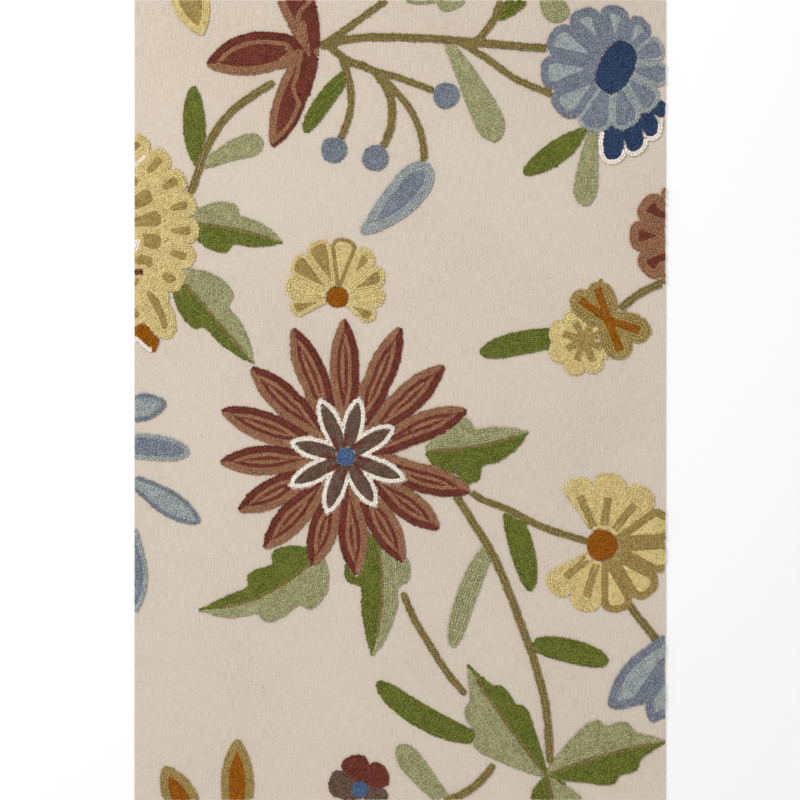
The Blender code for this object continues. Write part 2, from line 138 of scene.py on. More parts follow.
class Recipe:
    """The node tree of one material, which hands out signals."""

    def __init__(self, name: str) -> None:
        """Start a material with a Principled shader.

        Args:
            name: the material's name.
        """
        self.material = bpy.data.materials.new(name)
        self.material.use_nodes = True
        self.tree = self.material.node_tree
        self.shader = self.tree.nodes["Principled BSDF"]

    def node(self, kind: str, settings: dict, sockets: dict) -> bpy.types.Node:
        """Add one node.

        Args:
            kind: the node's type, without the ShaderNode that all begin with.
            settings: its own settings, which are set first.
            sockets: a value or a signal for each input, by name or number.

        Returns:
            The new node.
        """
        made = self.tree.nodes.new("ShaderNode" + kind)
        for name, value in settings.items():
            setattr(made, name, value)
        for key, value in sockets.items():
            if isinstance(value, Signal):
                self.tree.links.new(value.socket, made.inputs[key])
            else:
                made.inputs[key].default_value = value
        return made

    def out(self, made: bpy.types.Node, output: str | int = 0) -> Signal:
        """One output of a node as a signal."""
        return Signal(self, made.outputs[output])

    def maths(self, operation: str, first: Signal | float, second: Signal | float = 0.0) -> Signal:
        """A Math node on one or two values."""
        return self.out(self.node("Math", {"operation": operation}, {0: first, 1: second}))

    def limited(self, value: Signal) -> Signal:
        """The value kept between 0 and 1."""
        return self.out(self.node("Clamp", {}, {"Value": value}))

    def stretched(self, vector: Signal, by: tuple[float, float, float]) -> Signal:
        """Coordinates multiplied on each axis by its own number."""
        made = self.node("VectorMath", {"operation": "MULTIPLY"}, {0: vector, 1: by})
        return self.out(made)

    def mixed(self, share: Signal | float, first: Signal | tuple, second: Signal | tuple) -> Signal:
        """A colour between two, by a share from 0 to 1."""
        settings = {"data_type": "RGBA", "clamp_factor": True}
        return self.out(self.node("Mix", settings, {0: share, 6: first, 7: second}), 2)

    def noise(self, vector: Signal, scale: float, detail: float, roughness: float = 0.5) -> Signal:
        """Cloudy noise from 0 to 1 at a scale in cycles a unit."""
        sockets = {"Vector": vector, "Scale": scale, "Detail": detail, "Roughness": roughness}
        return self.out(self.node("TexNoise", {}, sockets), "Fac")

    def place(self) -> Signal:
        """Coordinates of the surface on the piece, in metres."""
        return self.out(self.node("TexCoord", {}, {}), "Object")

    def parts_of(self, vector: Signal) -> list[Signal]:
        """The x, y and z of a vector."""
        made = self.node("SeparateXYZ", {}, {0: vector})
        return [self.out(made, index) for index in range(3)]

    def bump(self, height: Signal, distance: float, strength: float) -> Signal:
        """A normal that follows a height, in metres."""
        sockets = {"Height": height, "Distance": distance, "Strength": strength}
        return self.out(self.node("Bump", {}, sockets), "Normal")

    def feed(self, name: str, value: Signal | float | tuple) -> None:
        """Set an input of the shader, or link it."""
        if isinstance(value, Signal):
            self.tree.links.new(value.socket, self.shader.inputs[name])
        else:
            self.shader.inputs[name].default_value = value


@dataclass(frozen=True)
class WoolFinish:
    """Crewel wool of one colour: two plies, matte, paler on its crests: painted shade between them.

    Heights are in millimetres, the twist's depth in metres and the grains in cycles a metre.
    """

    yarn: Yarn
    # shade and light: the yarn's colour in painted shade and where lit.
    shade: tuple[int, int, int]
    light: tuple[int, int, int]
    # Painted shade by height: the share towards the light colour is lowest in the valleys and rises
    # by lift to the crests.
    valley: float = 1.3
    crest: float = 2.9
    lowest: float = 0.3
    lift: float = 0.54
    fibre: float = 0.64
    fibre_grain: float = 1500.0
    speck: float = 1.44
    speck_grain: float = 640.0
    heather: float = 0.28
    heather_grain: float = 170.0
    tone: float = 0.4
    ply_shade: float = 0.08
    turns: float = 2.2
    twist: float = 0.00014
    roughness: float = 0.9
    shine: float = 0.2
    sheen: float = 0.12

    def material(self) -> bpy.types.Material:
        """Make the wool's material, with painted shade between the stitches and along the twist.

        Returns:
            A material that reads the stitches' tone attribute and their strand map.
        """
        recipe = Recipe("wool_" + self.yarn.value)
        place = recipe.place()
        height = recipe.parts_of(place)[2]
        # Painted shade: 0 low between the stitches, where the colour darkens, up to 1 on their
        # crests.
        lift = (height - self.valley * MM) * (1 / ((self.crest - self.valley) * MM))
        fibres = recipe.noise(place, self.fibre_grain, 3.0, 0.6)
        heather = recipe.noise(place, self.heather_grain, 2.0)
        specks = recipe.noise(place, self.speck_grain, 2.0)
        tone = recipe.out(recipe.node("Attribute", {"attribute_name": "tone"}, {}), "Fac")
        strand = recipe.out(recipe.node("UVMap", {"uv_map": "strand"}, {}))
        along, around, _ = recipe.parts_of(strand)
        # Painted shade and highlight along the twist: darker in the grooves between the plies,
        # paler on them; the same wave also bumps the surface.
        plies = recipe.maths("SINE", (along * self.turns + around) * (2 * math.tau))
        share = (recipe.limited(lift) * self.lift + self.lowest + (fibres - 0.5) * self.fibre
                 + (specks - 0.5) * self.speck + (heather - 0.5) * self.heather
                 + (tone - 0.5) * self.tone + plies * self.ply_shade)
        colour = recipe.mixed(share, linear(self.shade), linear(self.light))
        recipe.feed("Base Color", colour)
        recipe.feed("Roughness", self.roughness)
        recipe.feed("Specular IOR Level", self.shine)
        recipe.feed("Sheen Weight", self.sheen)
        recipe.feed("Sheen Roughness", 0.5)
        recipe.feed("Sheen Tint", linear(self.light))
        relief = plies * 0.5 + fibres * 1.4
        recipe.feed("Normal", recipe.bump(relief, self.twist, 0.9))
        return recipe.material


# Each yarn's darker colour is its painted shade and its paler one its lit colour; the noise and
# tone between them are its own mottling.
WOOL_COLOURS = {
    Yarn.OLIVE: ((86, 74, 34), (156, 138, 84)),
    Yarn.GREEN: ((62, 68, 14), (128, 136, 58)),
    Yarn.SAGE: ((112, 110, 68), (185, 183, 138)),
    Yarn.MADDER: ((68, 24, 18), (134, 70, 54)),
    Yarn.UMBER: ((62, 44, 38), (126, 100, 84)),
    Yarn.CREAM: ((218, 203, 184), (253, 246, 236)),
    Yarn.YELLOW: ((170, 147, 86), (234, 216, 154)),
    Yarn.GOLD: ((120, 98, 48), (184, 160, 98)),
    Yarn.AMBER: ((108, 52, 0), (172, 104, 8)),
    Yarn.SKY: ((112, 120, 120), (182, 188, 186)),
    Yarn.SLATE: ((84, 91, 102), (148, 154, 164)),
    Yarn.NAVY: ((22, 35, 64), (62, 82, 116)),
    Yarn.BLUE: ((44, 66, 100), (96, 124, 160)),
    Yarn.RUSSET: ((108, 70, 46), (174, 128, 96)),
}


@dataclass(frozen=True)
class CottonFinish:
    """Unbleached cotton in plain weave, with slubs that run up and down the cloth.

    Threads and slubs are in millimetres, the grains in cycles a metre along X, Y and Z, and
    the relief's depth and the height from which painted shade darkens the cloth in metres.
    Painted shade also lies between the threads.
    """

    colour: tuple[int, int, int] = (214, 200, 184)
    dark: tuple[int, int, int] = (178, 162, 144)
    thread: float = 0.62
    slub_run: float = 12.0
    slub_width: float = 0.8
    weft_grain: tuple[float, float, float] = (60.0, 900.0, 1.0)
    thread_grain: tuple[float, float, float] = (1100.0, 420.0, 1.0)
    cloud_grain: float = 9.0
    painted_shade_from: float = 0.2
    relief: float = 0.00012
    roughness: float = 0.88
    shine: float = 0.2
    sheen: float = 0.08

    def material(self) -> bpy.types.Material:
        """Make the cotton's material.

        Returns:
            A material with a woven bump, faint streaks and painted shade, in the weave and at the
            top.
        """
        recipe = Recipe("cotton_ground")
        place = recipe.place()
        across, up, _ = recipe.parts_of(place)
        turn = math.pi / (self.thread * MM)
        warp = recipe.maths("ABSOLUTE", recipe.maths("SINE", across * turn))
        weft = recipe.maths("ABSOLUTE", recipe.maths("SINE", up * turn))
        over = recipe.maths("SINE", across * turn) * recipe.maths("SINE", up * turn)
        slub_place = recipe.stretched(place, (1 / (self.slub_width * MM),
                                              1 / (self.slub_run * MM), 1.0))
        slubs = recipe.noise(slub_place, 1.0, 2.0, 0.6)
        weft_slubs = recipe.noise(recipe.stretched(place, self.weft_grain), 1.0, 1.0)
        clouds = recipe.noise(place, self.cloud_grain, 2.0)
        threads = recipe.noise(recipe.stretched(place, self.thread_grain), 1.0, 2.0, 0.7)
        # Painted shade: the cloth darkens over its upper end.
        upper = recipe.limited((up - self.painted_shade_from) * 8.0)
        # Painted shade also lies between the threads, where warp and weft dip; the slubs, streaks
        # and clouds are the cotton's own.
        share = ((slubs - 0.5) * 1.3 + (weft_slubs - 0.5) * 0.4 + (clouds - 0.5) * 0.5
                 + (threads - 0.5) * 1.3 + (1 - warp * weft) * 0.22 + upper * 0.14 - 0.02)
        recipe.feed("Base Color", recipe.mixed(recipe.limited(share), linear(self.colour),
                                               linear(self.dark)))
        recipe.feed("Roughness", self.roughness)
        recipe.feed("Specular IOR Level", self.shine)
        recipe.feed("Sheen Weight", self.sheen)
        relief = warp * 0.5 + weft * 0.5 + over * 0.4 + slubs * 1.2
        recipe.feed("Normal", recipe.bump(relief, self.relief, 0.7))
        return recipe.material


@dataclass(frozen=True)
class FloorFinish:
    """Plain pale surface under the cloth."""

    colour: tuple[int, int, int] = (252, 252, 252)

    def material(self) -> bpy.types.Material:
        """Make the floor's material."""
        recipe = Recipe("pale_floor")
        recipe.feed("Base Color", linear(self.colour))
        recipe.feed("Roughness", 0.8)
        recipe.feed("Specular IOR Level", 0.1)
        return recipe.material


def nearest(points: np.ndarray, targets: np.ndarray) -> np.ndarray:
    """Distance from each point to the nearest target.

    Args:
        points: plan points, one a row.
        targets: plan points to measure to.

    Returns:
        One distance for each point.
    """
    found = np.empty(len(points))
    size = (targets ** 2).sum(1)
    for first in range(0, len(points), BLOCK):
        block = points[first:first + BLOCK]
        squares = size - 2 * block @ targets.T + (block ** 2).sum(1)[:, None]
        found[first:first + BLOCK] = squares.min(1)
    return np.sqrt(np.maximum(found, 0.0))


@dataclass(frozen=True)
class Axis:
    """The bowed midline of a leaf or petal, from base to tip."""

    base: Point
    tip: Point
    bend: float = 0.0

    def along_and_off(self, points: np.ndarray) -> tuple[np.ndarray, np.ndarray]:
        """Place points on the midline.

        Args:
            points: plan points.

        Returns:
            The share of the way from base to tip, and how far each point is to the left.
        """
        run = np.subtract(self.tip, self.base)
        length = math.hypot(*run)
        offset = points - self.base
        along = offset @ run / length ** 2
        off = offset @ np.array([-run[1], run[0]]) / length
        held = np.clip(along, 0.0, 1.0)
        return along, off - 4 * self.bend * held * (1 - held)

    def distance(self, points: np.ndarray) -> np.ndarray:
        """How far each point is from the midline."""
        along, off = self.along_and_off(points)
        beyond = np.maximum(np.maximum(-along, along - 1), 0.0) * math.dist(self.base, self.tip)
        return np.hypot(off, beyond)

    def line(self, start: float, end: float, off: float | np.ndarray = 0.0) -> np.ndarray:
        """Points between two shares of its length, on the midline or off it to the left."""
        along = np.linspace(start, end, 24)[:, None]
        run = np.subtract(self.tip, self.base)
        across = np.array([-run[1], run[0]]) / math.hypot(*run)
        bow = 4 * self.bend * along * (1 - along) + np.reshape(off, (-1, 1))
        return np.array(self.base) + run * along + across * bow

    def accent(self, yarn: Yarn, start: float, end: float, off: float = 0.0,
               width: float = ROW_WIDTH) -> Accent:
        """A single row of stitches along the midline or beside it."""
        return Accent(yarn, tuple(map(tuple, self.line(start, end, off))), width)


@dataclass(frozen=True)
class Rows:
    """Yarns of a part's rows from its edge inwards, on the left and right of its midline."""

    left: tuple[Yarn, ...]
    right: tuple[Yarn, ...] = ()

    def yarn(self, ring: int, on_left: bool) -> Yarn:
        """Yarn of one row, the innermost for any that lie deeper."""
        side = self.left if on_left or not self.right else self.right
        return side[min(ring, len(side) - 1)]

    def sides(self, on_left: np.ndarray) -> list[tuple[tuple[Yarn, ...], np.ndarray]]:
        """The yarns of each side that differs, with the points that lie on it."""
        if not self.right:
            return [(self.left, np.ones(len(on_left), bool))]
        return [(self.left, on_left), (self.right, ~on_left)]


@dataclass(frozen=True)
class Petal:
    """One leaf or petal of a motif; a halved one is filled on each side by itself."""

    axis: Axis
    rows: Rows
    halved: bool = False


@dataclass(frozen=True)
class Scallop:
    """The rim of a round of petals, drawn in between each two."""

    centre: Point
    radius: float
    petals: int = 1
    notch: float = 0.0
    start: float = 0.0

    def holds(self, points: np.ndarray) -> np.ndarray:
        """Whether each point lies inside the rim."""
        offset = points - self.centre
        turn = np.arctan2(offset[:, 1], offset[:, 0]) - math.radians(self.start)
        lobe = np.sqrt(np.abs(np.sin(turn * self.petals / 2)))
        return np.hypot(*offset.T) < self.radius * (1 - self.notch * (1 - lobe))


@dataclass(frozen=True)
class Tier:
    """A round of petals, over the tiers before it; one with no rim fills the motif."""

    petals: tuple[Petal, ...]
    rim: Scallop | None = None


@dataclass(frozen=True)
class Accent:
    """A single row laid over a motif, such as a midrib."""

    yarn: Yarn
    line: tuple[Point, ...]
    width: float = ROW_WIDTH


@dataclass(frozen=True)
class Motif:
    """How one pad is worked: its tiers, its single rows and the width of its rows."""

    node: str
    tiers: tuple[Tier, ...]
    accents: tuple[Accent, ...] = ()
    row_width: float = ROW_WIDTH
    one_ring: bool = False
    outline_of: str = ""
    outline: tuple[Point, ...] = ()

    def footprint(self) -> Footprint:
        """Its outline in plan: that of its pad, or its own where it has none."""
        if self.outline:
            return Footprint.around(np.array(self.outline))
        return Footprint.of_node(self.node)


@dataclass
class Footprint:
    """The plan outline of a pad, as edges with a start and an end."""

    starts: np.ndarray
    ends: np.ndarray

    @classmethod
    def of_node(cls, node: str) -> Footprint:
        """Read a pad's outline from its upper face.

        Args:
            node: the name of the pad's node.

        Returns:
            The edges that only one of the upper face's triangles has.
        """
        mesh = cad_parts[node].data
        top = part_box(node)[1].z
        corners = [(round(v.co.x / MM, 3), round(v.co.y / MM, 3)) for v in mesh.vertices]
        seen: dict[frozenset, tuple[Point, Point]] = {}
        for face in mesh.polygons:
            if all(mesh.vertices[i].co.z > top - 0.1 * MM for i in face.vertices):
                ring = [corners[i] for i in face.vertices]
                for start, end in zip(ring, ring[1:] + ring[:1]):
                    edge = frozenset((start, end))
                    if edge in seen:
                        del seen[edge]
                    else:
                        seen[edge] = (start, end)
        edges = np.array(list(seen.values()))
        return cls(edges[:, 0], edges[:, 1])

    @classmethod
    def around(cls, ring: np.ndarray) -> Footprint:
        """The outline through a ring of points."""
        return cls(ring, np.roll(ring, -1, 0))

    def covers(self, points: np.ndarray) -> np.ndarray:
        """Whether each point is inside or just outside."""
        found = np.zeros(len(points), bool)
        low, high = self.starts.min(0) - COVER_REACH, self.starts.max(0) + COVER_REACH
        near = ((points > low) & (points < high)).all(1)
        if near.any():
            spots = points[near]
            found[near] = self.contains(spots) | (nearest(spots, self.samples(0.5)) < COVER_REACH)
        return found

    def contains(self, points: np.ndarray) -> np.ndarray:
        """Whether each point is inside, by the edges that a line to its right crosses."""
        inside = np.empty(len(points), bool)
        rise = self.ends[:, 1] - self.starts[:, 1]
        slope = (self.ends[:, 0] - self.starts[:, 0]) / np.where(rise == 0, 1.0, rise)
        for first in range(0, len(points), BLOCK):
            x, y = points[first:first + BLOCK].T[:, :, None]
            spans = (self.starts[:, 1] > y) != (self.ends[:, 1] > y)
            crossing = self.starts[:, 0] + (y - self.starts[:, 1]) * slope
            inside[first:first + BLOCK] = (spans & (x < crossing)).sum(1) % 2 == 1
        return inside

    def samples(self, spacing: float) -> np.ndarray:
        """Points along the outline, about a spacing apart."""
        found = []
        for start, end in zip(self.starts, self.ends):
            steps = max(1, math.ceil(math.dist(start, end) / spacing))
            shares = np.arange(steps)[:, None] / steps
            found.append(start + (end - start) * shares)
        return np.concatenate(found)


@dataclass
class Raster:
    """A grid of plan points over a motif."""

    low: np.ndarray
    rows: int
    columns: int

    @classmethod
    def over(cls, corners: np.ndarray) -> Raster:
        """A grid that covers some points with a margin round them."""
        low = corners.min(0) - GRID_MARGIN * GRID_STEP
        size = corners.max(0) - low
        columns, rows = np.ceil(size / GRID_STEP).astype(int) + GRID_MARGIN + 1
        return cls(low, int(rows), int(columns))

    def points(self) -> np.ndarray:
        """Every point of the grid, row by row."""
        rows, columns = np.mgrid[0:self.rows, 0:self.columns]
        return self.low + np.stack([columns.ravel(), rows.ravel()], 1) * GRID_STEP

    def framed(self, flat: np.ndarray) -> np.ndarray:
        """Values of all points as a grid whose border is cleared."""
        shaped = flat.reshape(self.rows, self.columns).copy()
        shaped[[0, -1], :] = 0
        shaped[:, [0, -1]] = 0
        return shaped


def contour_loops(heights: np.ndarray, level: float) -> list[np.ndarray]:
    """Closed lines along which a grid of heights has one level.

    Args:
        heights: the grid, which is lower than the level at its border.
        level: the height of the lines.

    Returns:
        Lines of points as column and row, each closed by its first point.
    """
    above = heights > level
    rows, columns = heights.shape
    places = {}
    level_edges = above[:, :-1] != above[:, 1:]
    upright_edges = above[:-1, :] != above[1:, :]
    for r, c in zip(*np.nonzero(level_edges)):
        share = (level - heights[r, c]) / (heights[r, c + 1] - heights[r, c])
        places[(0, r, c)] = (c + share, r)
    for r, c in zip(*np.nonzero(upright_edges)):
        share = (level - heights[r, c]) / (heights[r + 1, c] - heights[r, c])
        places[(1, r, c)] = (c, r + share)
    links: dict[tuple, list[tuple]] = {place: [] for place in places}
    crossed = level_edges[:-1] | level_edges[1:] | upright_edges[:, :-1] | upright_edges[:, 1:]
    for r, c in zip(*np.nonzero(crossed)):
        around = ((0, r, c), (1, r, c), (0, r + 1, c), (1, r, c + 1))
        sides = [side for side in around if side in places]
        for one, other in zip(sides[::2], sides[1::2]):
            links[one].append(other)
            links[other].append(one)
    loops = []
    while links:
        here = next(iter(links))
        line = []
        while here is not None:
            line.append(places[here])
            onward = [place for place in links.pop(here) if place in links]
            here = onward[0] if onward else None
        loops.append(np.array(line))
    return loops


@dataclass
class Row:
    """One row of chain stitch: its route, how deep it lies in its part and how wide it is."""

    route: np.ndarray
    ring: int
    width: float
    closed: bool = True


def spaced(route: np.ndarray, closed: bool, stitch: float) -> np.ndarray:
    """Points at even distances along a route, from end to end.

    Args:
        route: the points of the row.
        closed: whether its end runs on to its start.
        stitch: about how far apart the points are wanted.

    Returns:
        The points, the last equal to the first on a closed row.
    """
    if closed:
        route = np.concatenate([route, route[:1]])
    lengths = np.concatenate([[0.0], np.cumsum(np.hypot(*np.diff(route, axis=0).T))])
    count = max(1, round(lengths[-1] / stitch))
    at = np.linspace(0.0, lengths[-1], count + 1)
    return np.stack([np.interp(at, lengths, route[:, 0]), np.interp(at, lengths, route[:, 1])], 1)


def smoothed(loop: np.ndarray, passes: int = 4) -> np.ndarray:
    """A closed line with its small steps evened out."""
    for _ in range(passes):
        loop = 0.25 * np.roll(loop, 1, 0) + 0.5 * loop + 0.25 * np.roll(loop, -1, 0)
    return loop


def groups_of(cells: np.ndarray) -> list[np.ndarray]:
    """Part grid cells into groups that touch, as rows of indices into the cells."""
    left = {tuple(cell): index for index, cell in enumerate(cells.tolist())}
    found = []
    while left:
        cell, index = left.popitem()
        front, group = [cell], [index]
        while front:
            r, c = front.pop()
            for near in [(r + dr, c + dc) for dr in (-1, 0, 1) for dc in (-1, 0, 1)]:
                if near in left:
                    group.append(left.pop(near))
                    front.append(near)
        found.append(np.array(group))
    return found


def bare_row(points: np.ndarray) -> np.ndarray:
    """A gently bent route down the length of a bare patch of points."""
    middle = points.mean(0)
    direction = np.linalg.svd(points - middle, full_matrices=False)[2][0]
    across = np.array([-direction[1], direction[0]])
    along, off = (points - middle) @ direction, (points - middle) @ across
    bend = np.polyfit(along, off, 2 if len(points) > 30 else 1)
    at = np.linspace(along.min(), along.max(), 16)
    return middle + at[:, None] * direction + np.polyval(bend, at)[:, None] * across


@dataclass
class PartFilling:
    """Rows that fill one part of a motif, from its edge inwards, and short ones where it is bare.

    Where another motif covers the part, its rows' routes run on under it, without stitches.
    """

    raster: Raster
    mask: np.ndarray
    places: np.ndarray
    visible: np.ndarray
    bedded: np.ndarray
    row_width: float
    one_ring: bool
    depths: np.ndarray | None = None
    width: float = ROW_WIDTH

    def edge_points(self) -> np.ndarray:
        """Points between cells in and out of the part, but for those at the panel's own edge."""
        low = self.raster.low
        found = []
        r, c = np.nonzero(self.mask[:, :-1] != self.mask[:, 1:])
        found.append(low + np.stack([c + 0.5, r], 1) * GRID_STEP)
        r, c = np.nonzero(self.mask[:-1, :] != self.mask[1:, :])
        found.append(low + np.stack([c, r + 0.5], 1) * GRID_STEP)
        edge = np.concatenate(found)
        return edge[(np.abs(edge) < PANEL_HALF + 1.0).all(1)]

    def rows(self) -> list[Row]:
        """Work out the rows.

        Returns:
            Closed rows at even depths, then short rows that cover what they leave bare.
        """
        edge = self.edge_points()
        in_sight = self.mask & self.visible.reshape(self.mask.shape)
        if len(edge) == 0 or in_sight.sum() < 12:
            return []
        self.depths = np.zeros(self.mask.shape)
        self.depths[self.mask] = nearest(self.places[self.mask.ravel()], edge)
        deepest = self.depths[in_sight].max()
        count = 1 if self.one_ring else max(1, round(deepest / self.row_width))
        self.width = self.row_width if self.one_ring else deepest / count
        found = []
        for ring in range(count):
            for loop in contour_loops(self.depths, (ring + 0.5) * self.width):
                route = self.raster.low + smoothed(loop) * GRID_STEP
                if np.hypot(*np.diff(route, axis=0).T).sum() > SHORTEST_ROW:
                    found.append(Row(route, ring, self.width))
        return found + self.bare_rows(found, in_sight)

    def bare_rows(self, laid: list[Row], in_sight: np.ndarray) -> list[Row]:
        """Short rows along what the laid ones leave bare.

        Args:
            laid: the closed rows.
            in_sight: the part's cells that nothing covers.

        Returns:
            One row for each patch that has room for a stitch.
        """
        cells = np.argwhere(in_sight)
        where = self.places[in_sight.ravel()]
        depth = self.depths[in_sight]
        bare = (np.abs(where) < PANEL_HALF - EDGE_CLEARANCE).all(1)
        if laid:
            spots = np.concatenate([spaced(row.route, True, 1.0) for row in laid])
            bare &= nearest(where, spots) > 0.54 * self.width
        found = []
        patch_cells, patch_where, patch_depth = cells[bare], where[bare], depth[bare]
        for group in groups_of(patch_cells):
            area = len(group) * GRID_STEP ** 2
            if area < 0.3 * self.width ** 2:
                continue
            route = bare_row(patch_where[group])
            length = np.hypot(*np.diff(route, axis=0).T).sum()
            across = min(max(area / max(length, self.width), 0.62 * self.width), self.width)
            ring = int(patch_depth[group].mean() / self.width)
            found.append(Row(route, ring, across, closed=False))
        return found

    def bed_loops(self, ring: int, side: np.ndarray) -> list[np.ndarray]:
        """Outlines of the part from one row inwards, in sight and on one side of its midline."""
        if self.depths is None:
            return []
        level = 0.5
        heights = self.raster.framed(self.bedded & side).astype(float)
        if ring > 0:
            level = ring * self.width
            heights = np.where((self.visible & side).reshape(self.mask.shape), self.depths, 0.0)
        found = []
        for loop in contour_loops(heights, level):
            route = spaced(self.raster.low + smoothed(loop) * GRID_STEP, True, BED_STEP)[:-1]
            route = np.clip(route, 0.2 - PANEL_HALF, PANEL_HALF - 0.2)
            onward = np.roll(route, -1, 0)
            area = (route[:, 0] * onward[:, 1] - onward[:, 0] * route[:, 1]).sum() / 2
            if abs(area) > SMALLEST_BED:
                found.append(route if area > 0 else route[::-1])
        return found


@dataclass
class Stitches:
    """Chain stitches of one yarn: where each starts and ends and how wide its row is."""

    starts: list[np.ndarray] = field(default_factory=list)
    ends: list[np.ndarray] = field(default_factory=list)
    widths: list[float] = field(default_factory=list)
    edging: list[bool] = field(default_factory=list)

    def add(self, start: np.ndarray, end: np.ndarray, width: float, edging: bool) -> None:
        """Lay one stitch, at its part's edge or further in."""
        self.starts.append(start)
        self.ends.append(end)
        self.widths.append(width)
        self.edging.append(edging)


@dataclass(frozen=True)
class StrandStation:
    """A section of a strand: shares of the stitch's length, then millimetres."""

    along: float
    off: float
    height: float
    half: float


@dataclass
class MeshParts:
    """Closed shapes for one mesh: points in millimetres and, for each face corner, its maps."""

    points: np.ndarray
    corners: np.ndarray
    sizes: np.ndarray
    strand: np.ndarray
    cell: np.ndarray
    tone: np.ndarray

    def then(self, other: MeshParts) -> MeshParts:
        """These shapes and some others, each numbered after these."""
        cells = self.cell.max() + 1 if len(self.cell) else 0
        return MeshParts(
            np.concatenate([self.points, other.points]),
            np.concatenate([self.corners, other.corners + len(self.points)]),
            np.concatenate([self.sizes, other.sizes]),
            np.concatenate([self.strand, other.strand]),
            np.concatenate([self.cell, other.cell + cells]),
            np.concatenate([self.tone, other.tone]),
        )

    def mesh(self, name: str) -> bpy.types.Mesh:
        """Make the mesh.

        Args:
            name: the mesh's name.

        Returns:
            A mesh with a bake map, on which each shape has a cell of its own, and a strand map.
        """
        mesh = bpy.data.meshes.new(name)
        mesh.vertices.add(len(self.points))
        mesh.vertices.foreach_set("co", (self.points * MM).astype(np.float32).ravel())
        mesh.loops.add(len(self.corners))
        mesh.loops.foreach_set("vertex_index", self.corners.astype(np.int32))
        mesh.polygons.add(len(self.sizes))
        begins = np.concatenate([[0], np.cumsum(self.sizes)[:-1]])
        mesh.polygons.foreach_set("loop_start", begins.astype(np.int32))
        mesh.polygons.foreach_set("use_smooth", self.sizes <= 4)
        mesh.update(calc_edges=True)
        across = math.ceil(math.sqrt(self.cell.max() + 1))
        corner_cells = np.stack([self.cell % across, self.cell // across], 1)
        bake = (corner_cells + 0.08 + 0.84 * self.strand) / across
        for title, values in (("OFBake", bake), ("strand", self.strand)):
            layer = mesh.uv_layers.new(name=title, do_init=False)
            layer.uv.foreach_set("vector", values.astype(np.float32).ravel())
        tone = mesh.attributes.new("tone", "FLOAT", "POINT")
        tone.data.foreach_set("value", self.tone.astype(np.float32))
        return mesh


@dataclass(frozen=True)
class WoolBed:
    """Matted wool under the rows: a low flat layer in their yarn that fills the gaps between them,
    darker in tone and by its low height as painted shade.
    """

    loops: list[tuple[np.ndarray, float]]

    def parts(self) -> MeshParts:
        """Make a closed layer inside each outline.

        Returns:
            The layers, each with its upper side, its lower side and its edge apart on the map.
        """
        points, corners, sizes, strand, cell = [], [], [], [], []
        first = 0
        for number, (loop, top) in enumerate(self.loops):
            count = len(loop)
            low, size = loop.min(0), max(np.ptp(loop, axis=0).max(), 1.0)
            flat = (loop - low) / size
            index = np.arange(count)
            onward = (index + 1) % count
            for height in (CLOTH_TOP + top, CLOTH_TOP):
                points.append(np.column_stack([loop, np.full(count, height)]))
            corners += [first + index, first + count + index[::-1]]
            strand += [flat * 0.55, 0.6 + flat[::-1] * 0.25]
            sides = np.stack([index, index + count, onward + count, onward], 1)
            corners.append(first + sides.ravel())
            share = index / count
            edge = np.stack([np.stack([share, np.full(count, 0.9)], 1),
                             np.stack([share, np.full(count, 0.95)], 1)], 1)
            strand.append(np.stack([edge[:, 0], edge[:, 1], edge[:, 1] + [1 / count, 0.0],
                                    edge[:, 0] + [1 / count, 0.0]], 1).reshape(-1, 2))
            sizes += [np.array([count, count]), np.full(count, 4)]
            cell.append(np.full(6 * count, number))
            first += 2 * count
        return MeshParts(np.concatenate(points), np.concatenate(corners), np.concatenate(sizes),
                         np.concatenate(strand), np.concatenate(cell), np.full(first, BED_SHADE_TONE))


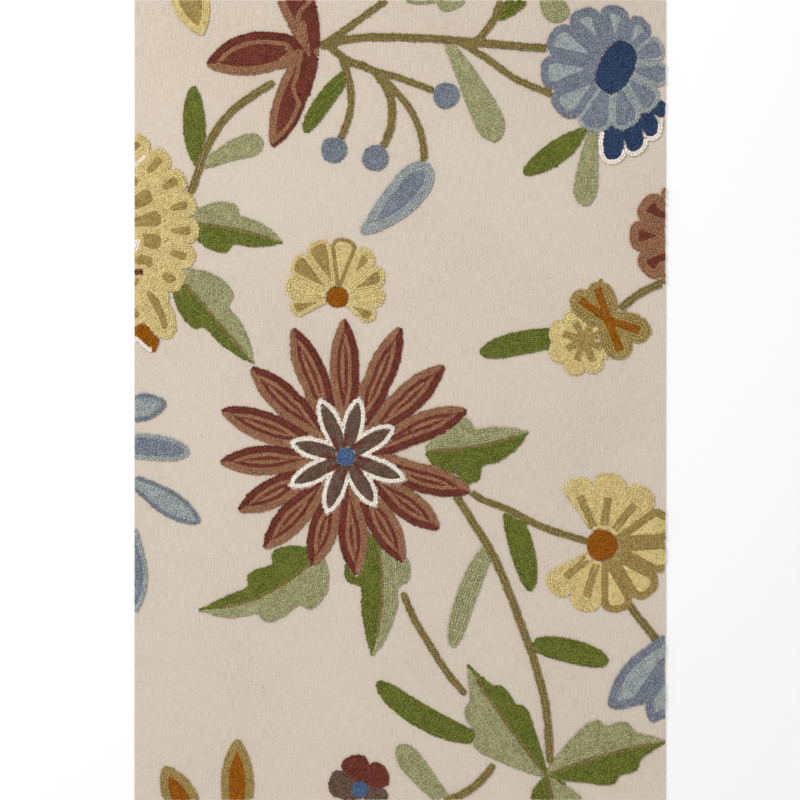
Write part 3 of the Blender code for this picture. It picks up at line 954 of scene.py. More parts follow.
@dataclass(frozen=True)
class ChainStitch:
    """One loop of chain stitch: two strands that rise, bow apart and dip at the head."""

    stations: tuple[StrandStation, ...] = (
        StrandStation(-0.24, 0.16, -0.25, 0.0),
        StrandStation(0.0, 0.52, 0.62, 0.66),
        StrandStation(0.36, 0.96, 0.86, 0.88),
        StrandStation(0.78, 0.94, 0.76, 0.86),
        StrandStation(1.04, 0.48, 0.4, 0.62),
        StrandStation(1.18, 0.0, 0.1, 0.0),
    )
    rise: float = 0.86
    corners: int = 4

    def strand_faces(self) -> tuple[np.ndarray, np.ndarray, np.ndarray]:
        """Faces of one strand.

        Returns:
            The vertex of each face corner, the size of each face, and each corner's place on
            the strand as shares along it and round it.
        """
        rings, sides = len(self.stations) - 2, self.corners
        last = rings * sides + 1
        vertices, sizes, places = [], [], []

        def vertex(ring: int, side: int) -> int:
            """Number of a vertex on a ring."""
            return 1 + ring * sides + side % sides

        def place(ring: int, side: float) -> tuple[float, float]:
            """Where on the strand a corner is."""
            return (ring + 1) / (rings + 1), side / sides

        for side in range(sides):
            vertices += [0, vertex(0, side + 1), vertex(0, side)]
            places += [place(-1, side + 0.5), place(0, side + 1), place(0, side)]
            sizes.append(3)
            for ring in range(rings - 1):
                quad = [(ring, side), (ring, side + 1), (ring + 1, side + 1), (ring + 1, side)]
                vertices += [vertex(r, s) for r, s in quad]
                places += [place(r, s) for r, s in quad]
                sizes.append(4)
            vertices += [vertex(rings - 1, side), vertex(rings - 1, side + 1), last]
            places += [place(rings - 1, side), place(rings - 1, side + 1), place(rings, side + 0.5)]
            sizes.append(3)
        return np.array(vertices), np.array(sizes), np.array(places)

    def strand_points(self, side: np.ndarray, length: np.ndarray, spread: np.ndarray,
                      lift: np.ndarray) -> np.ndarray:
        """Vertices of many strands, each in its stitch's own directions.

        Args:
            side: 1 for a left strand and -1 for a right one.
            length: length of the stitch.
            spread: how much wider than usual the row is.
            lift: how much higher than usual the strand rises.

        Returns:
            For each strand its vertices, as forward, left and up.
        """
        columns = []
        for number, station in enumerate(self.stations):
            forward = station.along * length
            left = side * station.off * spread
            up = station.height * lift
            half = station.half * spread
            if number in (0, len(self.stations) - 1):
                columns.append(np.stack([forward, left, up], 1))
                continue
            for corner in range(self.corners):
                turn = math.tau * corner / self.corners
                offset = half * math.cos(turn)
                height = half * math.sin(turn) * self.rise
                columns.append(np.stack([forward, left + offset, up + height * lift], 1))
        return np.stack(columns, 1)

    def parts(self, stitches: Stitches, chance: np.random.Generator) -> MeshParts:
        """Shapes of many stitches, two strands for each.

        Args:
            stitches: where they lie.
            chance: source of the small differences between them.

        Returns:
            The strands, each with a tone of its own.
        """
        starts = np.repeat(np.array(stitches.starts), 2, 0)
        runs = np.repeat(np.array(stitches.ends), 2, 0) - starts
        widths = np.repeat(np.array(stitches.widths), 2)
        count = len(starts)
        angle = np.arctan2(runs[:, 1], runs[:, 0]) + np.repeat(chance.normal(0, 0.1, count // 2), 2)
        length = np.hypot(*runs.T)
        side = np.tile([1.0, -1.0], count // 2)
        spread = widths / ROW_WIDTH * chance.uniform(0.92, 1.1, count)
        lift = np.sqrt(widths / ROW_WIDTH) * chance.uniform(0.84, 1.14, count)
        local = self.strand_points(side, length, spread, lift)
        cosine, sine = np.cos(angle)[:, None], np.sin(angle)[:, None]
        shift = np.repeat(chance.normal(0, 0.16, (count // 2, 2)), 2, 0)
        forward, left, up = local[:, :, 0], local[:, :, 1], local[:, :, 2]
        points = np.empty_like(local)
        points[:, :, 0] = starts[:, :1] + shift[:, :1] + forward * cosine - left * sine
        points[:, :, 1] = starts[:, 1:] + shift[:, 1:] + forward * sine + left * cosine
        points[:, :, 2] = CLOTH_TOP + up
        points[:, :, :2] = np.clip(points[:, :, :2], -PANEL_HALF, PANEL_HALF)
        each = points.shape[1]
        vertices, sizes, places = self.strand_faces()
        number = np.arange(count)
        return MeshParts(points.reshape(-1, 3), (number[:, None] * each + vertices).ravel(),
                         np.tile(sizes, count), np.tile(places, (count, 1)),
                         np.repeat(number, len(vertices)), np.repeat(chance.random(count), each))


@dataclass(frozen=True)
class StrayFibres:
    """Fine hairs that stand out from the stitches along a part's edge."""

    each: int = 3
    half: float = 0.12
    shortest: float = 0.9
    longest: float = 2.4
    in_cell: int = 8

    def parts(self, stitches: Stitches, chance: np.random.Generator) -> MeshParts:
        """Shapes of the hairs, each a thin closed spike.

        Args:
            stitches: the stitches of one yarn.
            chance: source of the hairs' places and directions.

        Returns:
            The hairs, with many to a cell of the bake map.
        """
        edging = np.array(stitches.edging)
        starts = np.repeat(np.array(stitches.starts)[edging], self.each, 0)
        runs = np.repeat(np.array(stitches.ends)[edging], self.each, 0) - starts
        widths = np.repeat(np.array(stitches.widths)[edging], self.each)
        count = len(starts)
        side = chance.choice([-1.0, 1.0], count)
        turn = np.arctan2(runs[:, 1], runs[:, 0]) + side * chance.uniform(0.5, 2.6, count)
        ahead = np.stack([np.cos(turn), np.sin(turn)], 1)
        across = np.stack([-ahead[:, 1], ahead[:, 0]], 1)
        root = starts + runs * chance.random((count, 1)) + ahead * (0.36 * widths)[:, None]
        tip = root + ahead * chance.uniform(self.shortest, self.longest, (count, 1))
        low = CLOTH_TOP + chance.uniform(0.35, 0.8, count)
        high = low + chance.uniform(-0.3, 0.5, count)
        corners = [(root - across * self.half, low), (root + across * self.half, low),
                   (root, low + 1.4 * self.half), (tip, high)]
        points = np.stack([np.column_stack([plan, height]) for plan, height in corners], 1)
        points[:, :, :2] = np.clip(points[:, :, :2], -PANEL_HALF, PANEL_HALF)
        faces = np.array([0, 1, 3, 1, 2, 3, 2, 0, 3, 0, 2, 1])
        number = np.arange(count)
        lanes = (number % self.in_cell)[:, None, None] / self.in_cell
        place = np.array([(0.0, 0.1), (0.0, 0.5), (0.0, 0.9), (1.0, 0.5)])[faces]
        strand = np.repeat(place[None], count, 0)
        strand[:, :, 1:] = lanes + strand[:, :, 1:] / self.in_cell
        return MeshParts(points.reshape(-1, 3), (number[:, None] * 4 + faces).ravel(),
                         np.full(4 * count, 3), strand.reshape(-1, 2),
                         np.repeat(number // self.in_cell, 12), np.repeat(chance.random(count), 4))


def shown(name: str, mesh: bpy.types.Mesh, material: bpy.types.Material) -> bpy.types.Object:
    """Put a mesh in the scene with its material."""
    mesh.materials.append(material)
    piece = bpy.data.objects.new(name, mesh)
    bpy.context.scene.collection.objects.link(piece)
    return piece


@dataclass
class StitchedMotif:
    """A motif worked in chain stitch inside the outline of its pad."""

    motif: Motif
    number: int
    stitch: ChainStitch = field(default_factory=ChainStitch)
    laid: dict[Yarn, Stitches] = field(default_factory=dict)
    beds: dict[Yarn, list] = field(default_factory=dict)
    above: list[Footprint] = field(default_factory=list)
    chance: np.random.Generator | None = None

    def build(self) -> None:
        """Lay every stitch of the motif."""
        self.chance = np.random.default_rng(SEED + self.number)
        footprint = self.motif.footprint()
        raster = Raster.over(footprint.starts)
        points = raster.points()
        places = np.clip(points, -PANEL_HALF + EDGE_CLEARANCE / 2, PANEL_HALF - EDGE_CLEARANCE / 2)
        if self.motif.outline_of:
            self.lay_outline(footprint, raster, points)
            return
        covered = self.covered(places)
        inside = footprint.contains(places) | covered
        bedded = self.bed_room(footprint, places, inside & ~covered)
        tier_of, petal_of, on_left = self.parts(places)
        for accent in self.motif.accents:
            line = spaced(np.array(accent.line), False, 1.0)
            inside &= nearest(places, line) > 0.42 * accent.width
            self.lay(Row(np.array(accent.line), 0, accent.width, closed=False),
                     Rows((accent.yarn,)), None, footprint)
        for tier_number, tier in enumerate(self.motif.tiers):
            for petal_number, petal in enumerate(tier.petals):
                whole = (tier_of == tier_number) & (petal_of == petal_number)
                halves = [whole & on_left, whole & ~on_left] if petal.halved else [whole]
                for half in halves:
                    filling = PartFilling(raster, raster.framed(inside & half), places,
                                          inside & half & ~covered, bedded & half,
                                          self.motif.row_width, self.motif.one_ring)
                    for row in filling.rows():
                        self.lay(row, petal.rows, petal.axis, footprint)
                    self.lay_beds(filling, petal, on_left)

    def bed_room(self, footprint: Footprint, points: np.ndarray, seen: np.ndarray) -> np.ndarray:
        """Where matted wool may lie: in sight and a little in from the motif's free edge.

        Args:
            footprint: the motif's outline.
            points: plan points.
            seen: which of them are inside and in sight.

        Returns:
            Which of the points may have wool under their rows.
        """
        rim = footprint.samples(1.0)
        rim = rim[~self.covered(rim)]
        found = seen.copy()
        if len(rim) and seen.any():
            found[seen] = nearest(points[seen], rim) > BED_EDGE
        return found

    def covered(self, points: np.ndarray) -> np.ndarray:
        """Whether each point lies under a motif worked over this one."""
        found = np.zeros(len(points), bool)
        for upper in self.above:
            found |= upper.covers(points)
        return found

    def lay_beds(self, filling: PartFilling, petal: Petal, on_left: np.ndarray) -> None:
        """Put matted wool under a part's rows, in each of their yarns."""
        for yarns, side in petal.rows.sides(on_left):
            for ring, yarn in enumerate(yarns):
                if ring == 0 or yarn is not yarns[ring - 1]:
                    beds = self.beds.setdefault(yarn, [])
                    for loop in filling.bed_loops(ring, side):
                        beds.append((loop, BED_TOP + BED_RISE * ring))

    def parts(self, places: np.ndarray) -> tuple[np.ndarray, np.ndarray, np.ndarray]:
        """Sort plan points by the part of the motif that they lie in.

        Args:
            places: the points.

        Returns:
            The number of each point's tier and petal, and whether it is left of its midline.
        """
        tier_of = np.zeros(len(places), int)
        for number, tier in enumerate(self.motif.tiers):
            if tier.rim is not None:
                tier_of[tier.rim.holds(places)] = number
        petal_of = np.zeros(len(places), int)
        on_left = np.zeros(len(places), bool)
        for number, tier in enumerate(self.motif.tiers):
            chosen = tier_of == number
            spots = places[chosen]
            reaches = np.stack([petal.axis.distance(spots) for petal in tier.petals])
            nearest_petal = reaches.argmin(0)
            offs = np.stack([petal.axis.along_and_off(spots)[1] for petal in tier.petals])
            petal_of[chosen] = nearest_petal
            on_left[chosen] = offs[nearest_petal, np.arange(len(spots))] > 0
        return tier_of, petal_of, on_left

    def lay(self, row: Row, rows: Rows, axis: Axis | None, within: Footprint) -> None:
        """Work one row, stitch by stitch.

        Args:
            row: its route.
            rows: the yarns of its part.
            axis: the midline that tells the part's left from its right.
            within: the outline that the stitches keep to, where the route may leave it.
        """
        knots = spaced(row.route, row.closed, STITCH_LENGTH)
        middles = (knots[:-1] + knots[1:]) / 2
        keep = (np.abs(middles) < PANEL_HALF - EDGE_CLEARANCE).all(1)
        keep &= within.contains(middles) & ~self.covered(middles)
        left = np.ones(len(middles), bool)
        if axis is not None:
            left = axis.along_and_off(middles)[1] > 0
        for index in np.nonzero(keep)[0]:
            yarn = rows.yarn(row.ring, bool(left[index]))
            stitches = self.laid.setdefault(yarn, Stitches())
            stitches.add(knots[index], knots[index + 1], row.width, row.ring == 0)

    def lay_outline(self, footprint: Footprint, raster: Raster, points: np.ndarray) -> None:
        """Work a single row round another motif.

        Args:
            footprint: the outline of this motif's pad.
            raster: the grid over it.
            points: the grid's points.
        """
        inner = Footprint.of_node(self.motif.outline_of)
        away = nearest(points, inner.samples(GRID_STEP))
        away[inner.contains(points)] *= -1
        reach = band_reach(footprint, inner)
        rows = self.motif.tiers[0].petals[0].rows
        for loop in contour_loops(raster.framed(reach - away + ABOVE_BORDER), ABOVE_BORDER):
            route = raster.low + smoothed(loop) * GRID_STEP
            self.lay(Row(route, 0, self.motif.row_width), rows, None, footprint)
        inside = footprint.contains(points)
        seen = inside & ~self.covered(points)
        filling = PartFilling(raster, raster.framed(inside), points, seen,
                              self.bed_room(footprint, points, seen), self.motif.row_width, True)
        filling.rows()
        halves = replace(self.motif.tiers[0].petals[0], rows=Rows(rows.left, rows.left))
        self.lay_beds(filling, halves, points[:, 0] < points[:, 0].mean())

    def dress(self, wools: dict[Yarn, bpy.types.Material]) -> int:
        """Make a piece of each yarn and give it its wool.

        Args:
            wools: the material of each yarn.

        Returns:
            The number of stitches in the motif.
        """
        total = 0
        for yarn, stitches in self.laid.items():
            shapes = self.stitch.parts(stitches, self.chance)
            if any(stitches.edging):
                shapes = shapes.then(StrayFibres().parts(stitches, self.chance))
            if self.beds.get(yarn):
                shapes = shapes.then(WoolBed(self.beds[yarn]).parts())
            name = f"{self.motif.node}_{yarn.value}"
            piece = shown(name, shapes.mesh(name), wools[yarn])
            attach(piece, "root")
            if not self.motif.outline:
                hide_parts(self.motif.node)
            total += len(stitches.starts)
        return total


def band_reach(band: Footprint, inner: Footprint) -> float:
    """Half the distance from an inner outline to the outside of a band round it."""
    away = nearest(band.samples(1.0), inner.samples(1.0))
    return float(np.percentile(away, 75)) / 2


@dataclass
class GroundCloth:
    """The cotton ground: one flat cut sheet with a faint unevenness."""

    cell: float = 6.0
    dip: float = 0.3
    map_middle: Point = (0.17, 0.23)
    map_scale: float = 2.2
    lower_side: float = 0.4
    edge_row: float = 0.9
    edge_scale: float = 20.0

    def heights(self, x: np.ndarray, y: np.ndarray) -> np.ndarray:
        """How far the upper side lies below its highest, in millimetres."""
        waves = (np.sin(x / 31.0 + 1.3) * np.sin(y / 43.0) + 0.6 * np.sin((x + y) / 23.0 + 0.7)
                 + 0.5 * np.sin((x - 1.6 * y) / 37.0 + 2.1))
        return self.dip * (0.5 - waves / 4.2)

    def build(self) -> bpy.types.Mesh:
        """Make the sheet.

        Returns:
            A closed mesh, flat below and faintly uneven above.
        """
        half_x, half_y = PANEL_HALF
        columns = round(2 * half_x / self.cell) + 1
        rows = round(2 * half_y / self.cell) + 1
        xs, ys = np.meshgrid(np.linspace(-half_x, half_x, columns),
                             np.linspace(-half_y, half_y, rows))
        above = np.stack([xs, ys, CLOTH_TOP - self.heights(xs, ys)], 2).reshape(-1, 3)
        below = np.stack([xs, ys, np.zeros_like(xs)], 2).reshape(-1, 3)
        points = np.concatenate([above, below]) * MM
        number = np.arange(rows * columns).reshape(rows, columns)
        upper = np.stack([number[:-1, :-1], number[:-1, 1:], number[1:, 1:], number[1:, :-1]],
                         2).reshape(-1, 4)
        lower = upper[:, ::-1] + rows * columns
        rim = np.concatenate([number[0, :-1], number[:-1, -1], number[-1, :0:-1], number[:0:-1, 0]])
        onward = np.roll(rim, -1)
        sides = np.stack([rim, rim + rows * columns, onward + rows * columns, onward], 1)
        faces = np.concatenate([upper, lower, sides])
        mesh = bpy.data.meshes.new(GROUND_NODE)
        mesh.from_pydata(points.tolist(), [], faces.tolist())
        mesh.shade_smooth()
        mesh.set_sharp_from_angle(angle=math.radians(40))
        self.map(mesh, len(upper))
        return mesh

    def map(self, mesh: bpy.types.Mesh, upper_count: int) -> None:
        """Lay the upper side, the lower side and the cut edges apart on the bake map.

        Args:
            mesh: the sheet.
            upper_count: how many of its faces are on the upper side, which come first.
        """
        layer = mesh.uv_layers.new(name="OFBake", do_init=False)
        size = 2 * PANEL_HALF.max() * MM * self.map_scale
        for face in mesh.polygons:
            for corner in face.loop_indices:
                spot = mesh.vertices[mesh.loops[corner].vertex_index].co
                u = self.map_middle[0] + spot.x / size
                v = self.map_middle[1] + spot.y / size
                if face.index >= 2 * upper_count:
                    u = (spot.x + spot.y) / size + 0.5
                    v = self.edge_row + spot.z * self.edge_scale
                elif face.index >= upper_count:
                    u += self.lower_side
                layer.uv[corner].vector = (u, v)

    def dress(self) -> bpy.types.Object:
        """Show the sheet in its cotton.

        Returns:
            The piece.
        """
        piece = shown("cotton_ground", self.build(), CottonFinish().material())
        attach(piece, "root")
        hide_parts(GROUND_NODE)
        return piece


@dataclass
class Studio:
    """Pale floor, soft light from the upper left and a camera straight above."""

    floor_size: float = 6.0
    lens: float = 85.0
    sensor: float = 36.0
    key_power: float = 33.0
    fill_light: float = 0.73
    key_place: tuple[float, float, float] = (-1.5, 1.3, 1.7)
    key_size: float = 0.9

    def build(self) -> None:
        """Set the floor, the light and the camera."""
        self.floor()
        self.light()
        self.camera()

    def floor(self) -> None:
        """A wide plain sheet just under the cloth."""
        half = self.floor_size / 2
        mesh = bpy.data.meshes.new("floor")
        corners = [(-half, -half, 0), (half, -half, 0), (half, half, 0), (-half, half, 0)]
        mesh.from_pydata(corners, [], [(0, 1, 2, 3)])
        floor = shown("floor", mesh, FloorFinish().material())
        floor.location.z = -0.2 * MM

    def light(self) -> None:
        """A large soft key and an even light from all round."""
        lamp = bpy.data.lights.new("key", "AREA")
        lamp.energy = self.key_power
        lamp.size = self.key_size
        key = bpy.data.objects.new("key", lamp)
        key.location = self.key_place
        away = -np.array(self.key_place)
        key.rotation_euler = (math.acos(-away[2] / np.linalg.norm(away)), 0.0,
                              math.atan2(away[1], away[0]) + math.pi / 2 + math.pi)
        bpy.context.scene.collection.objects.link(key)
        world = bpy.data.worlds.new("studio")
        world.use_nodes = True
        world.node_tree.nodes["Background"].inputs["Strength"].default_value = self.fill_light
        world.node_tree.nodes["Background"].inputs["Color"].default_value = (1.0, 1.0, 1.0, 1.0)
        bpy.context.scene.world = world
        bpy.context.scene.view_settings.view_transform = "Standard"

    def camera(self) -> None:
        """A camera over the middle whose picture is as tall as the cloth."""
        made = bpy.data.cameras.new("camera")
        made.lens = self.lens
        made.sensor_width = self.sensor
        camera = bpy.data.objects.new("camera", made)
        height = 2 * PANEL_HALF[1] * MM
        camera.location = (0.0, 0.0, height * self.lens / self.sensor + CLOTH_TOP * MM)
        bpy.context.scene.collection.objects.link(camera)
        bpy.context.scene.camera = camera


def whole(node: str, *yarns: Yarn, row_width: float = ROW_WIDTH, one_ring: bool = False) -> Motif:
    """A motif of one part, worked in the same yarns all round."""
    low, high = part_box(node)
    axis = Axis((low.x / MM, low.y / MM), (high.x / MM, high.y / MM))
    return Motif(node, (Tier((Petal(axis, Rows(yarns)),)),), (), row_width, one_ring)


def two_sided(node: str, axis: Axis) -> Motif:
    """A leaf in two greens, each side filled by itself, with an olive midrib."""
    petal = Petal(axis, TWO_GREENS, halved=True)
    return Motif(node, (Tier((petal,)),), (axis.accent(Yarn.OLIVE, 0.04, 0.86, width=3.2),))


def striped(node: str, *petals: tuple[Axis, Rows]) -> Motif:
    """Petals whose rows differ in yarn from edge to edge."""
    return Motif(node, (Tier(tuple(Petal(axis, rows) for axis, rows in petals)),))


def round_petals(centre: Point, radius: float, count: int, start: float, sweep: float,
                 *plans: Rows) -> tuple[Petal, ...]:
    """Petals set evenly round a centre, which take the plans in turn."""
    found = []
    for number in range(count):
        turn = math.radians(start + sweep * (number + 0.5) / count)
        tip = (centre[0] + radius * math.cos(turn), centre[1] + radius * math.sin(turn))
        found.append(Petal(Axis(centre, tip), plans[number % len(plans)]))
    return tuple(found)


def bars(petals: tuple[Petal, ...], yarn: Yarn, start: float, end: float,
         *offs: float) -> tuple[Accent, ...]:
    """Rows of another yarn down the middle of some petals, each a little longer or shorter."""
    found = []
    for number, petal in enumerate(petals):
        reach = end + 0.05 * math.sin(2.1 * number + start * 40)
        found += [petal.axis.accent(yarn, start, reach - abs(off) / 60, off) for off in offs]
    return tuple(found)


def club_outline(axis: Axis, half: float) -> tuple[Point, ...]:
    """Outline of a leaf that widens from its base to a round tip."""
    along = np.linspace(0.0, 1.0, 24)
    reach = half * np.where(along < 0.8, 0.3 + 0.7 * along / 0.8,
                            np.sqrt(np.maximum(1.0 - ((along - 0.8) / 0.2) ** 2, 0.0)))
    right, left = axis.line(0.0, 1.0, -reach), axis.line(0.0, 1.0, reach)
    return tuple(map(tuple, np.concatenate([right, left[::-1]])))


TWO_GREENS = Rows((Yarn.SAGE,), (Yarn.GREEN,))
YELLOW_LOOPS = Rows((Yarn.YELLOW, Yarn.YELLOW, Yarn.GOLD))
YELLOW_THIN = Rows((Yarn.YELLOW, Yarn.GOLD))
YELLOW_PLAIN = Rows((Yarn.YELLOW,))
GOLD_EDGED = Rows((Yarn.GOLD, Yarn.YELLOW))
GOLD_LOOPS = Rows((Yarn.GOLD, Yarn.GOLD, Yarn.YELLOW))
MUM = (-260.0, 143.0)
MUM_RADIUS = 90.0
MUM_INNER = 62.0
DAISY = (-46.0, -48.0)
DAISY_RADIUS = 110
STAR_RADIUS = 47
CLUSTER = (124.0, -318.0)
SMALL_BLOSSOM = (-53.0, 87.0)
RIGHT_BLOSSOM = (171.0, -123.0)
GOLD_MIDDLE = (176.0, 68.0)
CARNATION = (181.0, 283.0)


def leaves() -> list[Motif]:
    """Leaves of one green and of two, from the lowest laid to the topmost."""
    around = [Axis(CLUSTER, (57.0, -224.0), 2.0), Axis(CLUSTER, (226.0, -289.0), 3.0),
              Axis(CLUSTER, (143.0, -390.0))]
    petals = tuple(Petal(axis, TWO_GREENS, halved=True) for axis in around)
    ribs = tuple(axis.accent(Yarn.OLIVE, 0.0, 0.88, width=3.4) for axis in around)
    top_axis = Axis((116.0, 372.0), (137.0, 320.0), -2.0)
    found = [Motif("leaf_cluster", (Tier(petals),), ribs),
             Motif("leaf_sage_top", (Tier((Petal(top_axis, Rows((Yarn.SAGE,))),)),),
                   outline=club_outline(top_axis, 11.5))]
    found += [whole(f"leaf_sage_{number:02d}", Yarn.SAGE) for number in range(1, 7)]
    lobed = [
        Axis((-180.0, 150.0), (-99.0, 133.0), 3.0),
        Axis((-190.0, 108.0), (-124.0, 31.0)),
        Axis((22.0, -43.0), (109.0, -27.0), -4.0),
        Axis((-66.0, -129.0), (-171.0, -178.0), 12.0),
        Axis((-24.0, -100.0), (-24.0, -217.0), 9.0),
    ]
    for number, axis in enumerate(lobed, start=1):
        found.append(two_sided(f"leaf_lobed_{number:02d}", axis))
    return found + [whole(f"leaf_green_{number:02d}", Yarn.GREEN) for number in range(1, 9)]


def stems() -> list[Motif]:
    """Stems and twigs of two rows side by side."""
    found = [whole("stem_spray", Yarn.OLIVE, row_width=3.6, one_ring=True)]
    for name in ("left", "upper_right", "branch", "tulip", "corner"):
        found.append(whole("stem_" + name, Yarn.OLIVE, row_width=3.9, one_ring=True))
    for name in ("side", "low_left"):
        found.append(whole("stem_" + name, Yarn.OLIVE, row_width=3.3, one_ring=True))
    return found


def single_petals() -> list[Motif]:
    """Petals, buds and berries that stand by themselves or in twos and threes."""
    m, r = Yarn.MADDER, Yarn.RUSSET
    sky, slate = Yarn.SKY, Yarn.SLATE
    lily = striped(
        "lily_petals",
        (Axis((-72.0, 296.0), (-165.0, 283.0), -5.0), Rows((r, r, m, m), (m, m, r, m))),
        (Axis((-79.0, 303.0), (-109.0, 213.0), 2.0), Rows((m, r, m), (r, r, m, m))),
        (Axis((-75.0, 290.0), (-111.0, 378.0), -6.0), Rows((r, r, m, m), (m, r, m))),
        (Axis((-81.0, 266.0), (-79.0, 322.0), -5.0), Rows((m,))),
    )
    tulip = striped(
        "tulip_petals",
        (Axis((236.0, -198.0), (176.0, -261.0), 3.0), Rows((slate, slate, sky, sky))),
        (Axis((240.0, -212.0), (212.0, -274.0)), Rows((slate, slate, sky, sky))),
    )
    found = [lily, tulip,
             whole("petal_yellow", Yarn.YELLOW, Yarn.YELLOW, Yarn.GOLD),
             striped("petal_amber", (Axis((-238.0, 94.0), (-209.0, 39.0), 4.0),
                                     Rows((Yarn.AMBER,), (Yarn.CREAM, Yarn.AMBER)))),
             whole("bud_blue", sky, sky, slate),
             whole("leaf_blue_01", slate, sky),
             whole("leaf_blue_02", sky, slate),
             whole("leaf_blue_03", slate, sky),
             whole("leaf_blue_04", sky, slate)]
    golds = (Yarn.GOLD, Yarn.GOLD, Yarn.AMBER)
    found += [whole(f"petal_gold_{number:02d}", *golds) for number in (1, 2)]
    return found + [whole(f"berry_{number:02d}", slate) for number in (1, 2, 3)]


def daisy_ray(radius: float, turn: float) -> Axis:
    """The midline of one ray of the large flower, at a turn in degrees."""
    angle = math.radians(turn)
    return Axis(DAISY, (DAISY[0] + radius * math.cos(angle), DAISY[1] + radius * math.sin(angle)))


def daisy() -> list[Motif]:
    """The large rayed flower: striped petals, an outlined star and a heart."""
    m, r = Yarn.MADDER, Yarn.RUSSET
    petals = []
    for ray in range(15):
        turn = 90 + 23.2 * ray + 12.0 * (ray > 11) + 0.8 * math.sin(2.6 * ray - 4.5)
        petals.append(Petal(daisy_ray(DAISY_RADIUS, turn), Rows((r, r, m, r), (m, m, r, m))))
    star = []
    for ray in range(8):
        turn = 73 + 45.0 * ray + 4.0 * math.sin(2.6 * ray - 4.5)
        star.append(Petal(daisy_ray(STAR_RADIUS, turn), Rows((Yarn.UMBER,))))
    outline = Motif("daisy_outline", (Tier((Petal(star[0].axis, Rows((Yarn.CREAM,))),)),),
                    outline_of="daisy_star")
    wedges = tuple(petal.axis.accent(m, 0.16, 0.42, 3.6) for petal in star)
    return [Motif("daisy_petals", (Tier(tuple(petals)),)), outline,
            Motif("daisy_star", (Tier(tuple(star)),), wedges),
            whole("daisy_heart", Yarn.BLUE)]


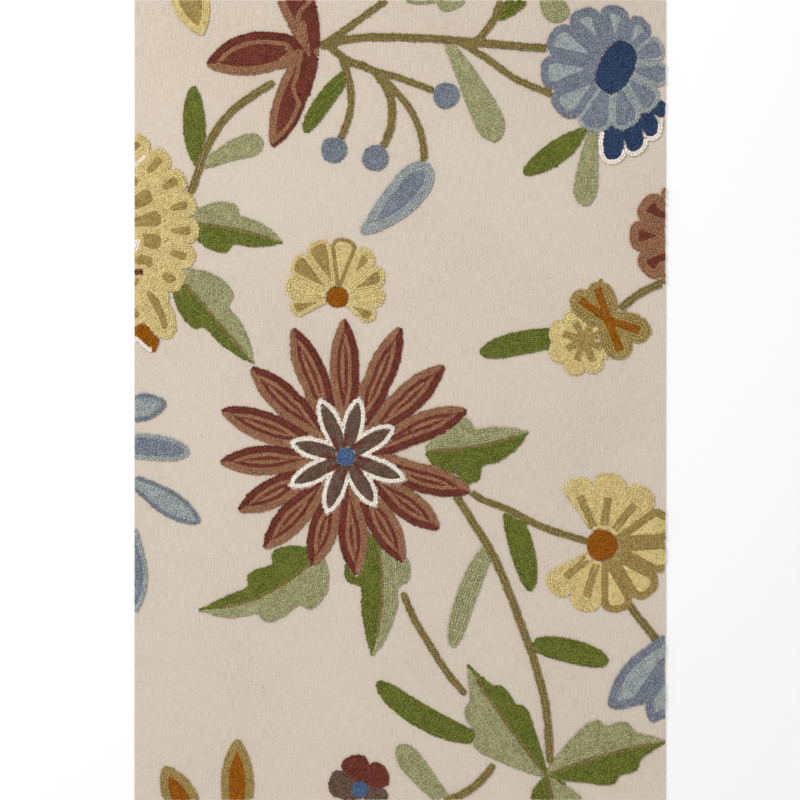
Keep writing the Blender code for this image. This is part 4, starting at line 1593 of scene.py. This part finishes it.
def blossoms() -> list[Motif]:
    """Round flowers with looped petals, and their hearts."""
    sky, slate, amber, gold = Yarn.SKY, Yarn.SLATE, Yarn.AMBER, Yarn.GOLD
    low_petal = Petal(Axis((-222.0, 104.0), (-194.0, 52.0)), YELLOW_LOOPS)
    outer = round_petals(MUM, MUM_RADIUS, 23, 8, 360, YELLOW_LOOPS)
    mum = Motif("mum_petals", (
        Tier(outer[:19] + outer[20:] + (low_petal,)),
        Tier(round_petals(MUM, MUM_INNER, 17, 22, 360, YELLOW_THIN),
             Scallop(MUM, MUM_INNER, 17, 0.12, 22)),
    ), (Accent(Yarn.CREAM, ((-227.0, 197.0), (-216.0, 207.0)), 3.4),
        Accent(Yarn.CREAM, ((-224.5, 126.0), (-221.5, 136.0)), 4.0),
        Accent(Yarn.MADDER, ((-225.0, 108.0), (-218.0, 109.0)), 5.0)))
    brown_rows = Rows((Yarn.RUSSET, Yarn.RUSSET, Yarn.MADDER))
    brown = Motif("blossom_brown", (
        Tier(round_petals((241.0, 139.0), 47.0, 9, 0, 360, brown_rows)),))
    yellow_round = round_petals((156.0, 50.0), 29.0, 8, 92, 360, YELLOW_PLAIN)
    pair_yellow = Motif("blossom_pair_yellow", (Tier(yellow_round),),
                        bars(yellow_round, gold, 0.0, 0.64, -1.6, 1.6))
    crossed = tuple(Petal(Axis(GOLD_MIDDLE, tip), Rows((gold,))) for tip in
                    ((145.0, 90.0), (165.0, 101.0), (213.0, 55.0), (190.0, 34.0)))
    pair_gold = Motif("blossom_pair_gold", (Tier(crossed),),
                      bars(crossed, amber, 0.0, 0.8, -1.8, 1.8)
                      + bars(crossed, amber, 0.3, 0.6, 0.0))
    small = Motif("blossom_small", (
        Tier(round_petals(SMALL_BLOSSOM, 46.0, 9, -45, 256, YELLOW_THIN, YELLOW_LOOPS, YELLOW_THIN,
                          YELLOW_LOOPS, GOLD_EDGED, YELLOW_THIN)),))
    right_round = round_petals(RIGHT_BLOSSOM, 60.0, 9, -154, 284, *[YELLOW_PLAIN] * 2,
                               *[GOLD_LOOPS] * 4, *[YELLOW_PLAIN] * 3)
    barred = right_round[:2] + right_round[6:]
    right = Motif("blossom_right", (Tier(right_round),),
                  bars(barred, gold, 0.28, 0.76, -1.8, 1.8) + bars(barred, gold, 0.4, 0.7, 0.0))
    rim = Motif("carnation_rim", (Tier((Petal(Axis((0, 0), (1, 1)), Rows((Yarn.CREAM,))),)),),
                row_width=4.2, outline_of="carnation_skirt")
    skirt = Motif("carnation_skirt", (
        Tier(round_petals(CARNATION, 75.0, 5, 262, 80, Rows((Yarn.NAVY,)))),))
    upper, lower = Rows((slate, slate, sky)), Rows((sky, slate))
    carnation = Motif("carnation_petals", (
        Tier(round_petals(CARNATION, 58.0, 11, 6, 360, lower, *[upper] * 6, *[lower] * 4)),))
    pansy = Motif("pansy_petals", (
        Tier(round_petals((-34.0, -327.0), 27.0, 5, -5, 360,
                          *[Rows((Yarn.MADDER,))] * 2, *[Rows((Yarn.UMBER,))] * 3)),
        Tier((Petal(Axis((-41.0, -330.0), (-27.0, -330.0)), Rows((Yarn.BLUE,))),),
             Scallop((-34.0, -330.0), 7.0))))
    return [mum, brown, pair_yellow, pair_gold, small, right, rim, skirt, carnation, pansy,
            whole("blossom_small_heart", amber), whole("blossom_right_heart", amber),
            whole("carnation_heart", Yarn.NAVY)]


def main() -> None:
    """Build the studio, the ground and every motif, and report each."""
    log = logging.getLogger("crewel_panel")
    Studio().build()
    log.info("studio set")
    ground = GroundCloth().dress()
    log.info("%s: %d faces", ground.name, len(ground.data.polygons))
    wools = {yarn: WoolFinish(yarn, *WOOL_COLOURS[yarn]).material() for yarn in Yarn}
    total = 0
    motifs = leaves() + stems() + single_petals() + blossoms() + daisy()
    outlines = [motif.footprint() for motif in motifs]
    for number, motif in enumerate(motifs):
        worked = StitchedMotif(motif, number, above=outlines[number + 1:])
        worked.build()
        count = worked.dress(wools)
        log.info("%s: %d stitches", motif.node, count)
        total += count
    log.info("%d stitches in all", total)


if __name__ == "__main__":
    logging.basicConfig(level=logging.INFO, format="%(name)s: %(message)s")
    main()
